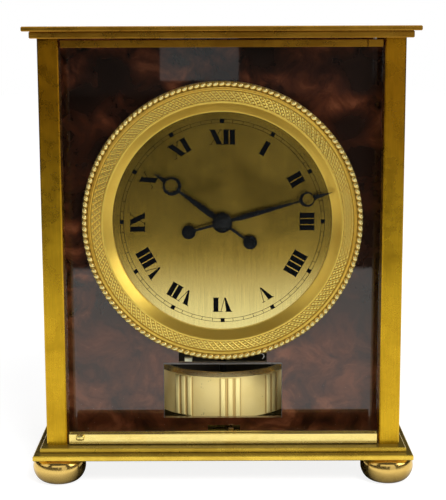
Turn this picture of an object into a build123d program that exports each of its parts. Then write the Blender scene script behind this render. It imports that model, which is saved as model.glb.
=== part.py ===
# Atmospheric clock: a glazed brass case round a movement with a torsion pendulum.
# Lengths are in millimetres. The front faces -Y, +X is to its right, and +Z is up.
# The origin is on the floor, under the middle of the case.

import os
from math import cos, pi, radians, sin

from build123d import *

os.makedirs("parts", exist_ok=True)

# Turns, in degrees, anticlockwise from the right as seen from the front
quarter_turn = 90
half_turn = 180
full_turn = 360

# Fits shared by the whole clock
overrun = 2.0  # how far a cut runs past the piece that it cuts
turning_gap = 0.05  # radial room of a shaft in its hole
press_gap = 0.02  # radial room of a pressed pin
seat_gap = 0.3  # room beside a piece that must not touch its neighbour

# Case: plates, pillars and feet
case_width = 192.0
case_depth = 140.0
foot_height = 13.7
base_bottom_thickness = 2.75
base_top_thickness = 2.25
pillar_height = 205.5
top_frame_thickness = 3.4
top_thickness = 2.4
step_side = 3.0  # the inner plates stand back this far at the sides
step_front = 5.5  # and this far at the front and the back
pillar_side_setback = 5.9
pillar_front_setback = 11.6
pillar_width = 10.3
plate_edge = 0.45
pillar_edge = 0.6
foot_radius = 13.4
foot_inset = 12.1
foot_stud_radius = 3.0
foot_stud_length = 4.0
foot_flat_share = 0.45
foot_widest_share = 0.6
foot_neck_share = 0.74
foot_belly_shares = (0.86, 0.2)
foot_shoulder_shares = (0.95, 0.86)

# Glass
glass_thickness = 2.5
glass_room = 0.15
groove_depth = 2.2

# Door
door_side_gap = 1.0
door_bottom_gap = 0.4
door_top_gap = 0.8
rail_depth = 5.0
bottom_rail_height = 5.3
top_rail_height = 3.6
rail_floor = 1.2  # metal left beyond the edge of the door glass
hinge_inset = 3.8
hinge_block_width = 7.5
hinge_pin_radius = 1.3
hinge_pin_reach = 1.4  # how deep a hinge pin stands in its plate
hinge_pin_hold = 1.0  # how deep it stands in the door
joint_line = 0.2
rail_edge = 0.2
knob_width = 4.4
knob_height = 2.9
knob_reach = 2.2
knob_inset = 5.8
knob_drop = 1.6
knob_corner = 0.95
knob_rounding = 0.6

# Lacquered panel
panel_setback = 33.6
panel_thickness = 3.0
panel_side_room = 0.35
panel_top_room = 0.2
window_width = 61.6
window_bottom = 7.7  # above the case floor
window_height = 28.9
lintel_height = 1.0
slot_width = 46.0
slot_height = 6.0
notch_width = 17.0
notch_shift = 0.5
notch_height = 3.6
bracket_width = 12.0
bracket_leg = 10.0
bracket_thickness = 1.5
bracket_inset = 11.0  # its middle, in from the edge of the panel

# Bezel and dial
dial_height = 112.15  # centre of the dial above the case floor
bezel_share = 0.8644  # of the panel's half width
bead_band = 3.0
valley_band = 0.8
line_band = 0.85
engraved_band = 5.4
border_band = 1.0
bevel_band = 4.6
bead_crest = 5.5
valley_floor = 4.3
line_crest = 5.5
band_outer = 4.7
band_inner = 5.4
border_crest = 5.8
bevel_foot = 1.7
dial_recess = 1.15
dial_thickness = 1.0
dial_lap = 1.4  # how far the dial runs behind the bezel
dial_hole_room = 0.5

# Hands, with the time that they show; their reach is in shares of the dial's visible radius
minute_angle = 74.5
hour_angle = 306.2
hand_thickness = 0.5
hour_hand_lift = 2.6  # above the dial
minute_hand_lift = 4.0
hub_radius = 5.1
hand_nut_radius = 3.1
hand_nut_height = 1.9
hand_nut_flat = 0.5
hand_nut_side_share = 0.33
hand_nut_dome_shares = (0.6, 0.8)
minute_tip_share = 1.0301
minute_ring_place_share = 0.7943
minute_ring_radius = 3.9
minute_ring_hole = 2.8
minute_ring_shift = 0.6
minute_blade = 2.7
minute_blade_end = 0.9
minute_tail_share = 0.3174
hour_tip_share = 0.7668
hour_ring_place_share = 0.5621
hour_ring_radius = 4.8
hour_ring_hole = 3.3
hour_ring_shift = 0.5
hour_blade = 3.3
hour_blade_end = 1.3
hour_tail_share = 0.3121
blade_belly_share = 0.27
wedge_width = 2.2
tail_ball_radius = 3.6
tail_stem = 1.4

# Movement: plates and what carries them
lever_room = 20.83  # from the platform up to the pivot of the pallet lever
platform_thickness = 3.0
platform_width = 104.0
platform_nose = 2.9
post_radius = 3.5
post_spread = 46.0
post_inset = 5.0
plate_thickness = 2.0
plate_room_share = 0.1874  # between the movement plates, of the depth behind the panel
plate_width = 72.0
plate_rounding = 6.0
plate_margin = 4.0
motion_room = 4.4  # between the lacquered panel and the front plate
motion_hole_radius = 24.0
movement_pillar_radius = 2.5
movement_pillar_inset = 5.5

# Train: teeth and modules
barrel_teeth = 80
centre_pinion_teeth = 10
barrel_module = 0.72
centre_teeth = 40
third_pinion_teeth = 20
third_teeth = 40
escape_pinion_teeth = 20
train_module = 0.6
cannon_teeth = 12
minute_wheel_teeth = 36
cannon_module = 0.5
minute_pinion_teeth = 10
hour_wheel_teeth = 40
addendum_share = 0.85
dedendum_share = 1.25
root_half_share = 0.26
tip_half_share = 0.1
mesh_room = 0.06
wheel_thickness = 1.2
wheel_rim = 2.0
wheel_hub = 3.2
wheel_spoke = 1.6
spoke_count = 4
pinion_length = 2.6
arbor_radius = 1.3
wheel_gap = 0.7
barrel_radius = 24.0
barrel_length_share = 0.5  # of the room between the movement plates
barrel_arbor_radius = 2.5
cannon_radius = 2.0
hour_pipe_wall = 0.8
minute_wheel_angle = 0.0

# Escapement
escapement_gap = 2.2  # between the back plate and the escape wheel
escape_teeth = 15
escape_radius = 8.0
escape_tooth_height = 1.9
escape_lean = 9.0
escape_land = 3.0
lever_drop = 10.5
lever_hub = 1.6
pallet_reach = 4.9
pallet_rise = 3.5
pallet_corner_shares = ((1.167, 0.5), (1.167, 0.917), (1.0, 1.0), (0.857, 0.667))
lever_back_share = 0.75
lever_waist = 1.2
fork_width = 3.4
fork_height = 3.0
fork_slot = 1.4
bridge_margin = 4.0
bridge_width = 29.0
bridge_foot_radius = 2.0
bridge_foot_inset = 2.6

# Torsion pendulum
pendulum_share = 0.4508  # its radius, of the depth behind the panel
pendulum_front_gap = 2.9
rib_depth = 0.9
rib_width = 2.9
rib_step = 6.0
rib_group_count = 9
rib_group_turn = 6.0
pendulum_wall = 3.6
pendulum_lift = 5.2  # above the case floor
pendulum_height_share = 0.5375  # of the height under the movement platform
pendulum_bevel = 2.3
pendulum_bevel_run = 1.9
spider_lift = 1.6
spider_thickness = 2.5
spider_rim = 2.4
spider_hub = 7.0
spider_hub_height = 8.5
spider_spoke = 7.0
spider_spoke_count = 3
tube_radius = 2.0
impulse_arm_width = 3.0
impulse_arm_thickness = 2.0
impulse_arm_drop = 2.0  # underside of the arm below the movement plates
impulse_pin_radius = 0.5
impulse_pin_height = 4.2
wire_radius = 0.2
wire_hold = 3.0

# Suspension
hanger_width = 18.0
hanger_height = 16.0
hanger_thickness = 3.0
hanger_arm_width = 12.0
hanger_arm_height = 4.0
hanger_arm_overhang = 6.0
clamp_radius = 3.0
clamp_drop = 5.0
clamp_rise = 3.0
index_ring_radius = 5.0
index_thickness = 1.2
index_length = 24.0
index_width = 1.6

# Winding by the bellows
chain_pulley_radius = 9.0
guide_pulley_radius = 6.0
pulley_flange = 1.4
pulley_cheek = 0.8
pulley_groove = 2.6
pulley_hub_gap = 1.0
link_length = 3.1
link_width = 1.7
link_wire = 0.45
link_play = 0.3
guide_pin_radius = 1.2
guide_arm_thickness = 2.0
guide_arm_height = 8.0
guide_foot_width = 6.0
guide_foot_thickness = 1.5
drum_radius = 34.0
drum_drop = 11.45  # its axis below the centre of the dial
drum_stand_off_share = 0.3045  # from the back plate to the drum cap, of the depth behind the panel
drum_rear_gap = 3.5
drum_wall = 1.5
drum_mouth_radius = 15.0
drum_pillar_radius = 2.2
drum_pillar_place = 30.0
drum_pillar_count = 4
spring_radius = 20.0
spring_wall = 2.0
spring_length_share = 0.367  # of the drum
pressure_plate_radius = 28.0
pressure_plate_thickness = 1.5
hook_radius = 0.8
hook_length = 3.0
capsule_radius = 29.0
capsule_fold = 4.0
capsule_folds = 6

# Pendulum lock
lock_post_radius = 3.0
lock_hub_radius = 7.0
lock_hub_height = 2.2
lock_arm_lift = 0.4
lock_arm_thickness = 1.2
lock_arm_width = 2.6
lock_arm_reach = 4.6  # past the front of the lacquered panel
lock_rest_angle = 5.0
lock_tip_height = 1.3
lock_tip_length = 2.0
lock_lift = 1.5
lifter_radius = 10.0
lifter_gap = 0.1

# Places worked out from the sizes above
base_top_z = foot_height + base_bottom_thickness
floor_z = base_top_z + base_top_thickness
ceiling_z = floor_z + pillar_height
top_z = ceiling_z + top_frame_thickness
half_width = case_width / 2
half_depth = case_depth / 2
pillar_outer_x = half_width - pillar_side_setback
pillar_inner_x = pillar_outer_x - pillar_width
pillar_x = (pillar_outer_x + pillar_inner_x) / 2
pillar_front_y = -(half_depth - pillar_front_setback)
pillar_y = -pillar_front_y - pillar_width / 2
foot_x = half_width - foot_inset
foot_y = half_depth - foot_inset
groove_width = glass_thickness + 2 * glass_room

rail_half = pillar_inner_x - door_side_gap
rail_y = pillar_front_y + rail_depth / 2
bottom_rail_z = floor_z + door_bottom_gap
bottom_rail_top = bottom_rail_z + bottom_rail_height
top_rail_top = ceiling_z - door_top_gap
top_rail_z = top_rail_top - top_rail_height
hinge_x = rail_half - hinge_inset

panel_front_y = -half_depth + panel_setback
panel_back_y = panel_front_y + panel_thickness
panel_half = pillar_x - glass_thickness / 2 - panel_side_room
panel_top = ceiling_z - panel_top_room
window_z = floor_z + window_bottom
window_top = window_z + window_height
slot_z = window_top + lintel_height

dial_z = floor_z + dial_height
dial_front_y = panel_front_y - dial_thickness
bezel_radius = bezel_share * panel_half
bezel_opening = (bezel_radius - bead_band - valley_band - line_band - engraved_band
                 - border_band - bevel_band)
dial_radius = bezel_opening + dial_lap
hour_hand_y = dial_front_y - hour_hand_lift
minute_hand_y = dial_front_y - minute_hand_lift

rear_glass_front_y = pillar_y - glass_thickness / 2
inner_depth_room = rear_glass_front_y - panel_back_y
plate_room = plate_room_share * inner_depth_room
barrel_length = barrel_length_share * plate_room
front_plate_y = panel_back_y + motion_room
train_front_y = front_plate_y + plate_thickness
train_back_y = train_front_y + plate_room
back_plate_y = train_back_y + plate_thickness

barrel_distance = (barrel_teeth + centre_pinion_teeth) * barrel_module / 2 + mesh_room
third_distance = (centre_teeth + third_pinion_teeth) * train_module / 2 + mesh_room
escape_distance = (third_teeth + escape_pinion_teeth) * train_module / 2 + mesh_room
motion_distance = (cannon_teeth + minute_wheel_teeth) * cannon_module / 2
hour_module = 2 * motion_distance / (minute_pinion_teeth + hour_wheel_teeth)
barrel_z = dial_z + barrel_distance
third_z = dial_z - third_distance
escape_z = third_z - escape_distance
lever_z = escape_z - lever_drop
plates_z = lever_z - lever_room
platform_z = plates_z - platform_thickness
plates_top = barrel_z + barrel_teeth * barrel_module / 2 + plate_margin
plates_height = plates_top - plates_z
minute_wheel_x = (motion_distance + mesh_room) * cos(radians(minute_wheel_angle))
minute_wheel_z = dial_z + (motion_distance + mesh_room) * sin(radians(minute_wheel_angle))

great_wheel_y = train_front_y + wheel_gap
third_wheel_y = train_front_y + plate_room / 2
centre_wheel_y = train_back_y - wheel_gap - pinion_length
minute_wheel_y = front_plate_y - wheel_gap
hour_wheel_y = minute_wheel_y - wheel_thickness - wheel_gap
escapement_y = back_plate_y + wheel_thickness + escapement_gap
bridge_y = escapement_y + wheel_gap

pendulum_radius = pendulum_share * inner_depth_room
pendulum_y = panel_back_y + pendulum_front_gap + pendulum_radius
pendulum_z = floor_z + pendulum_lift
pendulum_height = pendulum_height_share * (platform_z - floor_z)
pendulum_top = pendulum_z + pendulum_height
pendulum_body_radius = pendulum_radius - rib_depth
pendulum_bore = pendulum_body_radius - pendulum_wall
spider_z = pendulum_z + spider_lift
impulse_arm_z = plates_z - impulse_arm_drop
impulse_arm_top = impulse_arm_z + impulse_arm_thickness
impulse_pin_top = impulse_arm_top + impulse_pin_height
fork_z = impulse_pin_top + seat_gap
impulse_pin_reach = pendulum_y - escapement_y + wheel_thickness / 2

hanger_arm_z = plates_top - hanger_arm_height - wheel_gap
hanger_arm_top = hanger_arm_z + hanger_arm_height

drum_z = dial_z - drum_drop
guide_z = drum_z + guide_pulley_radius
pulley_width = pulley_groove + 2 * pulley_cheek
chain_y = back_plate_y + pulley_hub_gap + pulley_width / 2
chain_x = chain_pulley_radius
guide_y = chain_y + guide_pulley_radius
drum_stand_off = drum_stand_off_share * inner_depth_room
drum_cap_y = back_plate_y + drum_stand_off
drum_front_y = drum_cap_y + drum_wall
drum_back_y = rear_glass_front_y - drum_rear_gap
drum_length = drum_back_y - drum_front_y
spring_length = spring_length_share * drum_length
pressure_plate_y = drum_front_y + spring_length
hook_y = pressure_plate_y - hook_length
capsule_y = pressure_plate_y + pressure_plate_thickness

lock_hub_top = floor_z + lock_hub_height
lifter_z = lock_hub_top + lifter_gap
lifter_thickness = spider_z - seat_gap - lock_lift - lifter_z
lock_reach = pendulum_y - panel_front_y + lock_arm_reach


def level(z, x=0, y=0):
    """A level plane, seen from above."""
    return Plane(origin=(x, y, z))


def facing(y, x=0, z=0):
    """An upright plane across the clock, seen from the front; its normal points forward."""
    return Plane(origin=(x, y, z), x_dir=(1, 0, 0), z_dir=(0, -1, 0))


def turned_upright(x=0, y=0, z=0):
    """Profile plane of a piece turned about a vertical axis: radius across, height up."""
    return Plane(origin=(x, y, z), x_dir=(1, 0, 0), z_dir=(0, -1, 0))


def turned_forward(y, x=0, z=0):
    """Profile plane of a piece turned about a fore-and-aft axis: radius across, forward up."""
    return Plane(origin=(x, y, z), x_dir=(1, 0, 0), z_dir=(0, 0, -1))


def forward_axis(x=0, z=0):
    return Axis((x, 0, z), (0, -1, 0))


def upright_axis(x=0, y=0):
    return Axis((x, y, 0), (0, 0, 1))


def disc(radius, y, length, x=0, z=0, mode=Mode.ADD):
    """A round bar from y towards the front."""
    with BuildSketch(facing(y, x, z)) as section:
        Circle(radius)
    extrude(section.sketch, amount=length, mode=mode)


def column(radius, z, length, x=0, y=0, mode=Mode.ADD):
    """A round bar from z upwards."""
    with BuildSketch(level(z, x, y)) as section:
        Circle(radius)
    extrude(section.sketch, amount=length, mode=mode)


def gear_points(teeth, module, phase):
    """Outline of a clock gear with tapered teeth and some backlash; phase is in degrees."""
    pitch_radius = teeth * module / 2
    root = pitch_radius - dedendum_share * module
    tip = pitch_radius + addendum_share * module
    step = 2 * pi / teeth
    corners = (
        (root, -root_half_share),
        (tip, -tip_half_share),
        (tip, tip_half_share),
        (root, root_half_share),
    )
    points = []
    for tooth in range(teeth):
        for radius, share in corners:
            angle = radians(phase) + (tooth + share) * step
            points.append((radius * cos(angle), radius * sin(angle)))
    return points


def mesh_phase(driver_teeth, driver_phase, follower_teeth, direction):
    """Phase that puts the follower's gap over the driver's tooth; direction points to it."""
    turned = (driver_phase - direction) * driver_teeth / follower_teeth
    return direction + half_turn + half_turn / follower_teeth - turned


def gear(teeth, module, phase, y, length, x=0, z=0):
    """A toothed disc from y towards the front."""
    with BuildSketch(facing(y, x, z)) as section:
        with BuildLine():
            Polyline(*gear_points(teeth, module, phase), close=True)
        make_face()
    extrude(section.sketch, amount=length)


def crossings(teeth, module, y, length, x=0, z=0):
    """Cuts the openings between a wheel's spokes."""
    rim = teeth * module / 2 - dedendum_share * module - wheel_rim
    with BuildSketch(facing(y + overrun, x, z)) as openings:
        Circle(rim)
        Circle(wheel_hub, mode=Mode.SUBTRACT)
        with PolarLocations(rim / 2, spoke_count):
            Rectangle(2 * rim, wheel_spoke, mode=Mode.SUBTRACT)
    extrude(openings.sketch, amount=length + 2 * overrun, mode=Mode.SUBTRACT)


# Case plates
def case_plate(width, depth, z, thickness):
    """A level plate with its long edges broken."""
    with BuildSketch(level(z)) as section:
        Rectangle(width, depth)
    extrude(section.sketch, amount=thickness)


inner_width = case_width - 2 * step_side
inner_depth = case_depth - 2 * step_front

with BuildPart() as base_bottom_plate:
    case_plate(case_width, case_depth, foot_height, base_bottom_thickness)
    chamfer(base_bottom_plate.edges().filter_by(Axis.Z, reverse=True), plate_edge)
    with BuildSketch(level(foot_height - overrun)):
        with GridLocations(2 * foot_x, 2 * foot_y, 2, 2):
            Circle(foot_stud_radius + turning_gap)
    extrude(amount=base_bottom_thickness + 2 * overrun, mode=Mode.SUBTRACT)

with BuildPart() as base_top_plate:
    case_plate(inner_width, inner_depth, base_top_z, base_top_thickness)
    chamfer(base_top_plate.edges().filter_by(Axis.Z, reverse=True), plate_edge)
    with BuildSketch(level(base_top_z - overrun)):
        with GridLocations(2 * foot_x, 2 * foot_y, 2, 2):
            Circle(foot_stud_radius + turning_gap)
    extrude(amount=foot_stud_length - base_bottom_thickness + seat_gap + overrun, mode=Mode.SUBTRACT)
    column(hinge_pin_radius + turning_gap, floor_z - hinge_pin_reach - seat_gap,
           hinge_pin_reach + seat_gap + overrun, hinge_x, rail_y, Mode.SUBTRACT)

with BuildPart() as top_frame_plate:
    case_plate(inner_width, inner_depth, ceiling_z, top_frame_thickness)
    chamfer(top_frame_plate.edges().filter_by(Axis.Z, reverse=True), plate_edge)
    column(hinge_pin_radius + turning_gap, ceiling_z - overrun,
           hinge_pin_reach + seat_gap + overrun, hinge_x, rail_y, Mode.SUBTRACT)

with BuildPart() as top_plate:
    case_plate(case_width, case_depth, top_z, top_thickness)
    chamfer(top_plate.edges().filter_by(Axis.Z, reverse=True), plate_edge)


# Corner pillars, grooved for the glass
def pillar(side, front):
    """One pillar; side is -1 at the left and front is -1 at the front."""
    groove_place = (pillar_width - groove_depth) / 2
    with BuildPart() as bar:
        with BuildSketch(level(floor_z, side * pillar_x, front * pillar_y)) as section:
            Rectangle(pillar_width, pillar_width)
            chamfer(section.vertices(), pillar_edge)
            with Locations((0, -front * groove_place)):
                Rectangle(groove_width, groove_depth, mode=Mode.SUBTRACT)
            if front > 0:
                with Locations((-side * groove_place, 0)):
                    Rectangle(groove_depth, groove_width, mode=Mode.SUBTRACT)
        extrude(amount=pillar_height)
    return bar


front_left_pillar = pillar(-1, -1)
front_right_pillar = pillar(1, -1)
rear_left_pillar = pillar(-1, 1)
rear_right_pillar = pillar(1, 1)


# Bun feet, each with a stud that stands in the base plates
def bun_foot(x, y):
    """Adds one foot to the piece being made."""
    with BuildSketch(turned_upright(x, y)) as profile:
        with BuildLine():
            Line((0, 0), (foot_flat_share * foot_radius, 0))
            ThreePointArc(
                (foot_flat_share * foot_radius, 0),
                (foot_belly_shares[0] * foot_radius, foot_belly_shares[1] * foot_height),
                (foot_radius, foot_widest_share * foot_height),
            )
            ThreePointArc(
                (foot_radius, foot_widest_share * foot_height),
                (foot_shoulder_shares[0] * foot_radius, foot_shoulder_shares[1] * foot_height),
                (foot_neck_share * foot_radius, foot_height),
            )
            Line((foot_neck_share * foot_radius, foot_height), (0, foot_height))
            Line((0, foot_height), (0, 0))
        make_face()
    revolve(profile.sketch, axis=upright_axis(x, y))
    column(foot_stud_radius, foot_height, foot_stud_length, x, y)


with BuildPart() as front_left_foot:
    bun_foot(-foot_x, -foot_y)

with BuildPart() as front_right_foot:
    bun_foot(foot_x, -foot_y)

with BuildPart() as rear_feet:
    bun_foot(-foot_x, foot_y)
    bun_foot(foot_x, foot_y)

# Side and rear glass, standing in the grooves
side_glass_length = 2 * (pillar_y - pillar_width / 2 + groove_depth - glass_room)
rear_glass_length = 2 * (pillar_inner_x + groove_depth - glass_room)
glass_height = pillar_height - panel_top_room


def side_glass(side):
    with BuildPart() as pane:
        with BuildSketch(level(floor_z, side * pillar_x)):
            Rectangle(glass_thickness, side_glass_length)
        extrude(amount=glass_height)
    return pane


left_side_glass = side_glass(-1)
right_side_glass = side_glass(1)

with BuildPart() as rear_glass:
    with BuildSketch(level(floor_z, 0, pillar_y)):
        Rectangle(rear_glass_length, glass_thickness)
    extrude(amount=glass_height)


# Front door
def glass_groove(z, height):
    """Cuts the channel that the door glass stands in."""
    with BuildSketch(level(z, 0, rail_y)) as channel:
        Rectangle(2 * rail_half + 2 * overrun, groove_width)
    extrude(channel.sketch, amount=height, mode=Mode.SUBTRACT)


def rail(left, right, z, height):
    """A bar of the door from left to right, with its edges broken."""
    with BuildSketch(level(z, (left + right) / 2, rail_y)) as section:
        Rectangle(right - left, rail_depth)
    extrude(section.sketch, amount=height)


block_left = rail_half - hinge_block_width

with BuildPart() as door_bottom_rail:
    rail(-rail_half, rail_half, bottom_rail_z, bottom_rail_height)
    chamfer(door_bottom_rail.edges(), rail_edge)
    glass_groove(bottom_rail_z + rail_floor, bottom_rail_height + overrun)
    column(hinge_pin_radius + press_gap, bottom_rail_z - overrun,
           hinge_pin_hold + overrun, hinge_x, rail_y, Mode.SUBTRACT)

with BuildPart() as door_top_rail:
    rail(-rail_half, block_left - joint_line, top_rail_z, top_rail_height)
    chamfer(door_top_rail.edges(), rail_edge)
    glass_groove(top_rail_z - overrun, top_rail_height - rail_floor + overrun)

with BuildPart() as door_hinge_block:
    rail(block_left, rail_half, top_rail_z, top_rail_height)
    chamfer(door_hinge_block.edges(), rail_edge)
    glass_groove(top_rail_z - overrun, top_rail_height - rail_floor + overrun)
    column(hinge_pin_radius + press_gap, top_rail_top - hinge_pin_hold,
           hinge_pin_hold + overrun, hinge_x, rail_y, Mode.SUBTRACT)

with BuildPart() as door_glass:
    with BuildSketch(level(bottom_rail_z + rail_floor, 0, rail_y)):
        Rectangle(2 * (rail_half - glass_room), glass_thickness)
    extrude(amount=top_rail_top - bottom_rail_z - 2 * rail_floor)

with BuildPart() as door_hinge_pins:
    column(hinge_pin_radius, floor_z - hinge_pin_reach,
           hinge_pin_reach + door_bottom_gap + hinge_pin_hold, hinge_x, rail_y)
    column(hinge_pin_radius, top_rail_top - hinge_pin_hold,
           hinge_pin_hold + door_top_gap + hinge_pin_reach, hinge_x, rail_y)

with BuildPart() as door_knob:
    with BuildSketch(facing(pillar_front_y, knob_inset - rail_half, bottom_rail_top - knob_drop)):
        RectangleRounded(knob_width, knob_height, knob_corner)
    extrude(amount=knob_reach)
    fillet(door_knob.faces().sort_by(Axis.Y)[0].edges(), knob_rounding)

# Lacquered panel with the pendulum window, the slot above it and the notch of the lock lever
with BuildPart() as fascia_panel:
    with BuildSketch(facing(panel_back_y)):
        with Locations((0, (floor_z + panel_top) / 2)):
            Rectangle(2 * panel_half, panel_top - floor_z)
        with Locations((0, window_z + window_height / 2)):
            Rectangle(window_width, window_height, mode=Mode.SUBTRACT)
        with Locations((0, slot_z + slot_height / 2)):
            Rectangle(slot_width, slot_height, mode=Mode.SUBTRACT)
        with Locations((notch_shift, floor_z)):
            Rectangle(notch_width, 2 * notch_height, mode=Mode.SUBTRACT)
        with Locations((0, dial_z)):
            Circle(motion_hole_radius, mode=Mode.SUBTRACT)
    extrude(amount=panel_thickness)

# Brackets that hold the panel to the base and the top
with BuildPart() as panel_brackets:
    for side in (-1, 1):
        for foot_z, direction in ((floor_z, 1), (ceiling_z, -1)):
            bracket_x = side * (panel_half - bracket_inset)
            upright = Plane(origin=(bracket_x, panel_back_y, foot_z), x_dir=(0, 1, 0), z_dir=(1, 0, 0))
            with BuildSketch(upright):
                with BuildLine():
                    Polyline(
                        (0, 0),
                        (bracket_leg, 0),
                        (bracket_leg, direction * bracket_thickness),
                        (bracket_thickness, direction * bracket_thickness),
                        (bracket_thickness, direction * bracket_leg),
                        (0, direction * bracket_leg),
                        close=True,
                    )
                make_face()
            extrude(amount=bracket_width / 2, both=True)

# Bezel, turned about the axis of the hands
bead_inner = bezel_radius - bead_band
valley_inner = bead_inner - valley_band
line_inner = valley_inner - line_band
band_edge = line_inner - engraved_band
border_inner = band_edge - border_band
bead_middle = bezel_radius - bead_band / 2

with BuildPart() as bezel:
    with BuildSketch(turned_forward(panel_front_y, 0, dial_z)):
        with BuildLine():
            Line((dial_radius + turning_gap, 0), (bezel_radius, 0))
            Line((bezel_radius, 0), (bezel_radius, valley_floor))
            ThreePointArc(
                (bezel_radius, valley_floor), (bead_middle, bead_crest), (bead_inner, valley_floor)
            )
            Line((bead_inner, valley_floor), (valley_inner, valley_floor))
            Polyline(
                (valley_inner, valley_floor),
                (valley_inner, line_crest),
                (line_inner, line_crest),
                (line_inner, band_outer),
                (band_edge, band_inner),
                (band_edge, border_crest),
                (border_inner, border_crest),
                (bezel_opening, bevel_foot),
                (bezel_opening, dial_recess),
                (dial_radius + turning_gap, dial_recess),
                (dial_radius + turning_gap, 0),
            )
        make_face()
    revolve(axis=forward_axis(0, dial_z))

with BuildPart() as dial_plate:
    disc(dial_radius, panel_front_y, dial_thickness, 0, dial_z)
    disc(cannon_radius + turning_gap + hour_pipe_wall + dial_hole_room, panel_front_y + overrun,
         dial_thickness + 2 * overrun, 0, dial_z, Mode.SUBTRACT)


# Hands
def hand_plane(y, angle):
    """Plane of a hand that points at the clockwise angle, with its length along local x."""
    turn = radians(angle)
    return Plane(origin=(0, y, dial_z), x_dir=(sin(turn), 0, cos(turn)), z_dir=(0, -1, 0))


def hand(y, angle, tip, ring_place, ring_radius, ring_hole, ring_shift, blade, blade_end, tail, bore):
    """A pierced hand: blade, open ring near the end, wedge tip and a round tail."""
    belly = blade_belly_share * ring_place
    with BuildSketch(hand_plane(y, angle)) as outline:
        Circle(hub_radius)
        with BuildLine():
            Polyline(
                (0, blade_end / 2),
                (belly, blade / 2),
                (ring_place, blade_end / 2),
                (ring_place, -blade_end / 2),
                (belly, -blade / 2),
                (0, -blade_end / 2),
                close=True,
            )
        make_face()
        with BuildLine():
            Polyline(
                (ring_place + ring_radius / 2, wedge_width / 2),
                (tip, 0),
                (ring_place + ring_radius / 2, -wedge_width / 2),
                close=True,
            )
        make_face()
        with Locations((ring_place, 0)):
            Circle(ring_radius)
        with Locations((ring_place + ring_shift, 0)):
            Circle(ring_hole, mode=Mode.SUBTRACT)
        with Locations((-tail / 2, 0)):
            Rectangle(tail, tail_stem)
        with Locations((-tail, 0)):
            Circle(tail_ball_radius)
        Circle(bore, mode=Mode.SUBTRACT)
    extrude(outline.sketch, amount=hand_thickness)


cannon_bore = arbor_radius + press_gap
hour_pipe_bore = cannon_radius + turning_gap
hour_pipe_radius = hour_pipe_bore + hour_pipe_wall
hand_nut_y = minute_hand_y - hand_thickness

with BuildPart() as minute_hand:
    hand(minute_hand_y, minute_angle, minute_tip_share * bezel_opening,
         minute_ring_place_share * bezel_opening, minute_ring_radius, minute_ring_hole,
         minute_ring_shift, minute_blade, minute_blade_end, minute_tail_share * bezel_opening,
         cannon_bore)

with BuildPart() as hour_hand:
    hand(hour_hand_y, hour_angle, hour_tip_share * bezel_opening,
         hour_ring_place_share * bezel_opening, hour_ring_radius, hour_ring_hole,
         hour_ring_shift, hour_blade, hour_blade_end, hour_tail_share * bezel_opening,
         hour_pipe_radius + press_gap)

with BuildPart() as hand_nut:
    with BuildSketch(turned_forward(hand_nut_y, 0, dial_z)):
        with BuildLine():
            Polyline(
                (hand_nut_flat, hand_nut_height),
                (0, hand_nut_height),
                (0, 0),
                (hand_nut_radius, 0),
                (hand_nut_radius, hand_nut_side_share * hand_nut_height),
            )
            ThreePointArc(
                (hand_nut_radius, hand_nut_side_share * hand_nut_height),
                (hand_nut_dome_shares[0] * (hand_nut_radius + hand_nut_flat),
                 hand_nut_dome_shares[1] * hand_nut_height),
                (hand_nut_flat, hand_nut_height),
            )
        make_face()
    revolve(axis=forward_axis(0, dial_z))

# Movement posts, platform and plates
with BuildPart() as movement_posts:
    for side in (-1, 1):
        for post_y in (front_plate_y + plate_thickness / 2, back_plate_y - post_inset):
            column(post_radius, floor_z, platform_z - floor_z, side * post_spread, post_y)

platform_front_y = front_plate_y - platform_nose
with BuildPart() as movement_platform:
    with BuildSketch(level(platform_z, 0, (platform_front_y + back_plate_y) / 2)):
        Rectangle(platform_width, back_plate_y - platform_front_y)
    extrude(amount=platform_thickness)


def movement_plate(back_y):
    """A plate of the movement, from its rear face forward."""
    with BuildSketch(facing(back_y, 0, (plates_z + plates_top) / 2)) as outline:
        Rectangle(plate_width, plates_height)
        fillet(outline.vertices().group_by(Axis.Y)[-1], plate_rounding)
    extrude(outline.sketch, amount=plate_thickness)


def pivot_hole(radius, back_y, x, z):
    """A pivot hole through a movement plate."""
    disc(radius + turning_gap, back_y + overrun, plate_thickness + 2 * overrun, x, z, Mode.SUBTRACT)


with BuildPart() as movement_front_plate:
    movement_plate(train_front_y)
    pivot_hole(barrel_arbor_radius, train_front_y, 0, barrel_z)
    pivot_hole(arbor_radius, train_front_y, 0, dial_z)
    pivot_hole(arbor_radius, train_front_y, 0, third_z)
    pivot_hole(arbor_radius, train_front_y, 0, escape_z)
    pivot_hole(arbor_radius, train_front_y, minute_wheel_x, minute_wheel_z)

with BuildPart() as movement_back_plate:
    movement_plate(back_plate_y)
    pivot_hole(barrel_arbor_radius, back_plate_y, 0, barrel_z)
    pivot_hole(arbor_radius, back_plate_y, 0, dial_z)
    pivot_hole(arbor_radius, back_plate_y, 0, third_z)
    pivot_hole(arbor_radius, back_plate_y, 0, escape_z)
    pivot_hole(arbor_radius, back_plate_y, 0, lever_z)

with BuildPart() as movement_pillars:
    for side in (-1, 1):
        for pillar_z in (plates_z + movement_pillar_inset, plates_top - movement_pillar_inset):
            disc(movement_pillar_radius, train_back_y, plate_room,
                 side * (plate_width / 2 - movement_pillar_inset), pillar_z)

# Going train
arbor_length = plate_room + 2 * plate_thickness - seat_gap
centre_front_y = hand_nut_y
barrel_phase = mesh_phase(centre_pinion_teeth, 0, barrel_teeth, quarter_turn)
third_phase = mesh_phase(centre_teeth, 0, third_pinion_teeth, -quarter_turn)
escape_phase = mesh_phase(third_teeth, 0, escape_pinion_teeth, -quarter_turn)
minute_phase = mesh_phase(cannon_teeth, 0, minute_wheel_teeth, minute_wheel_angle)
hour_phase = mesh_phase(minute_pinion_teeth, 0, hour_wheel_teeth, minute_wheel_angle + half_turn)

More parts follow.
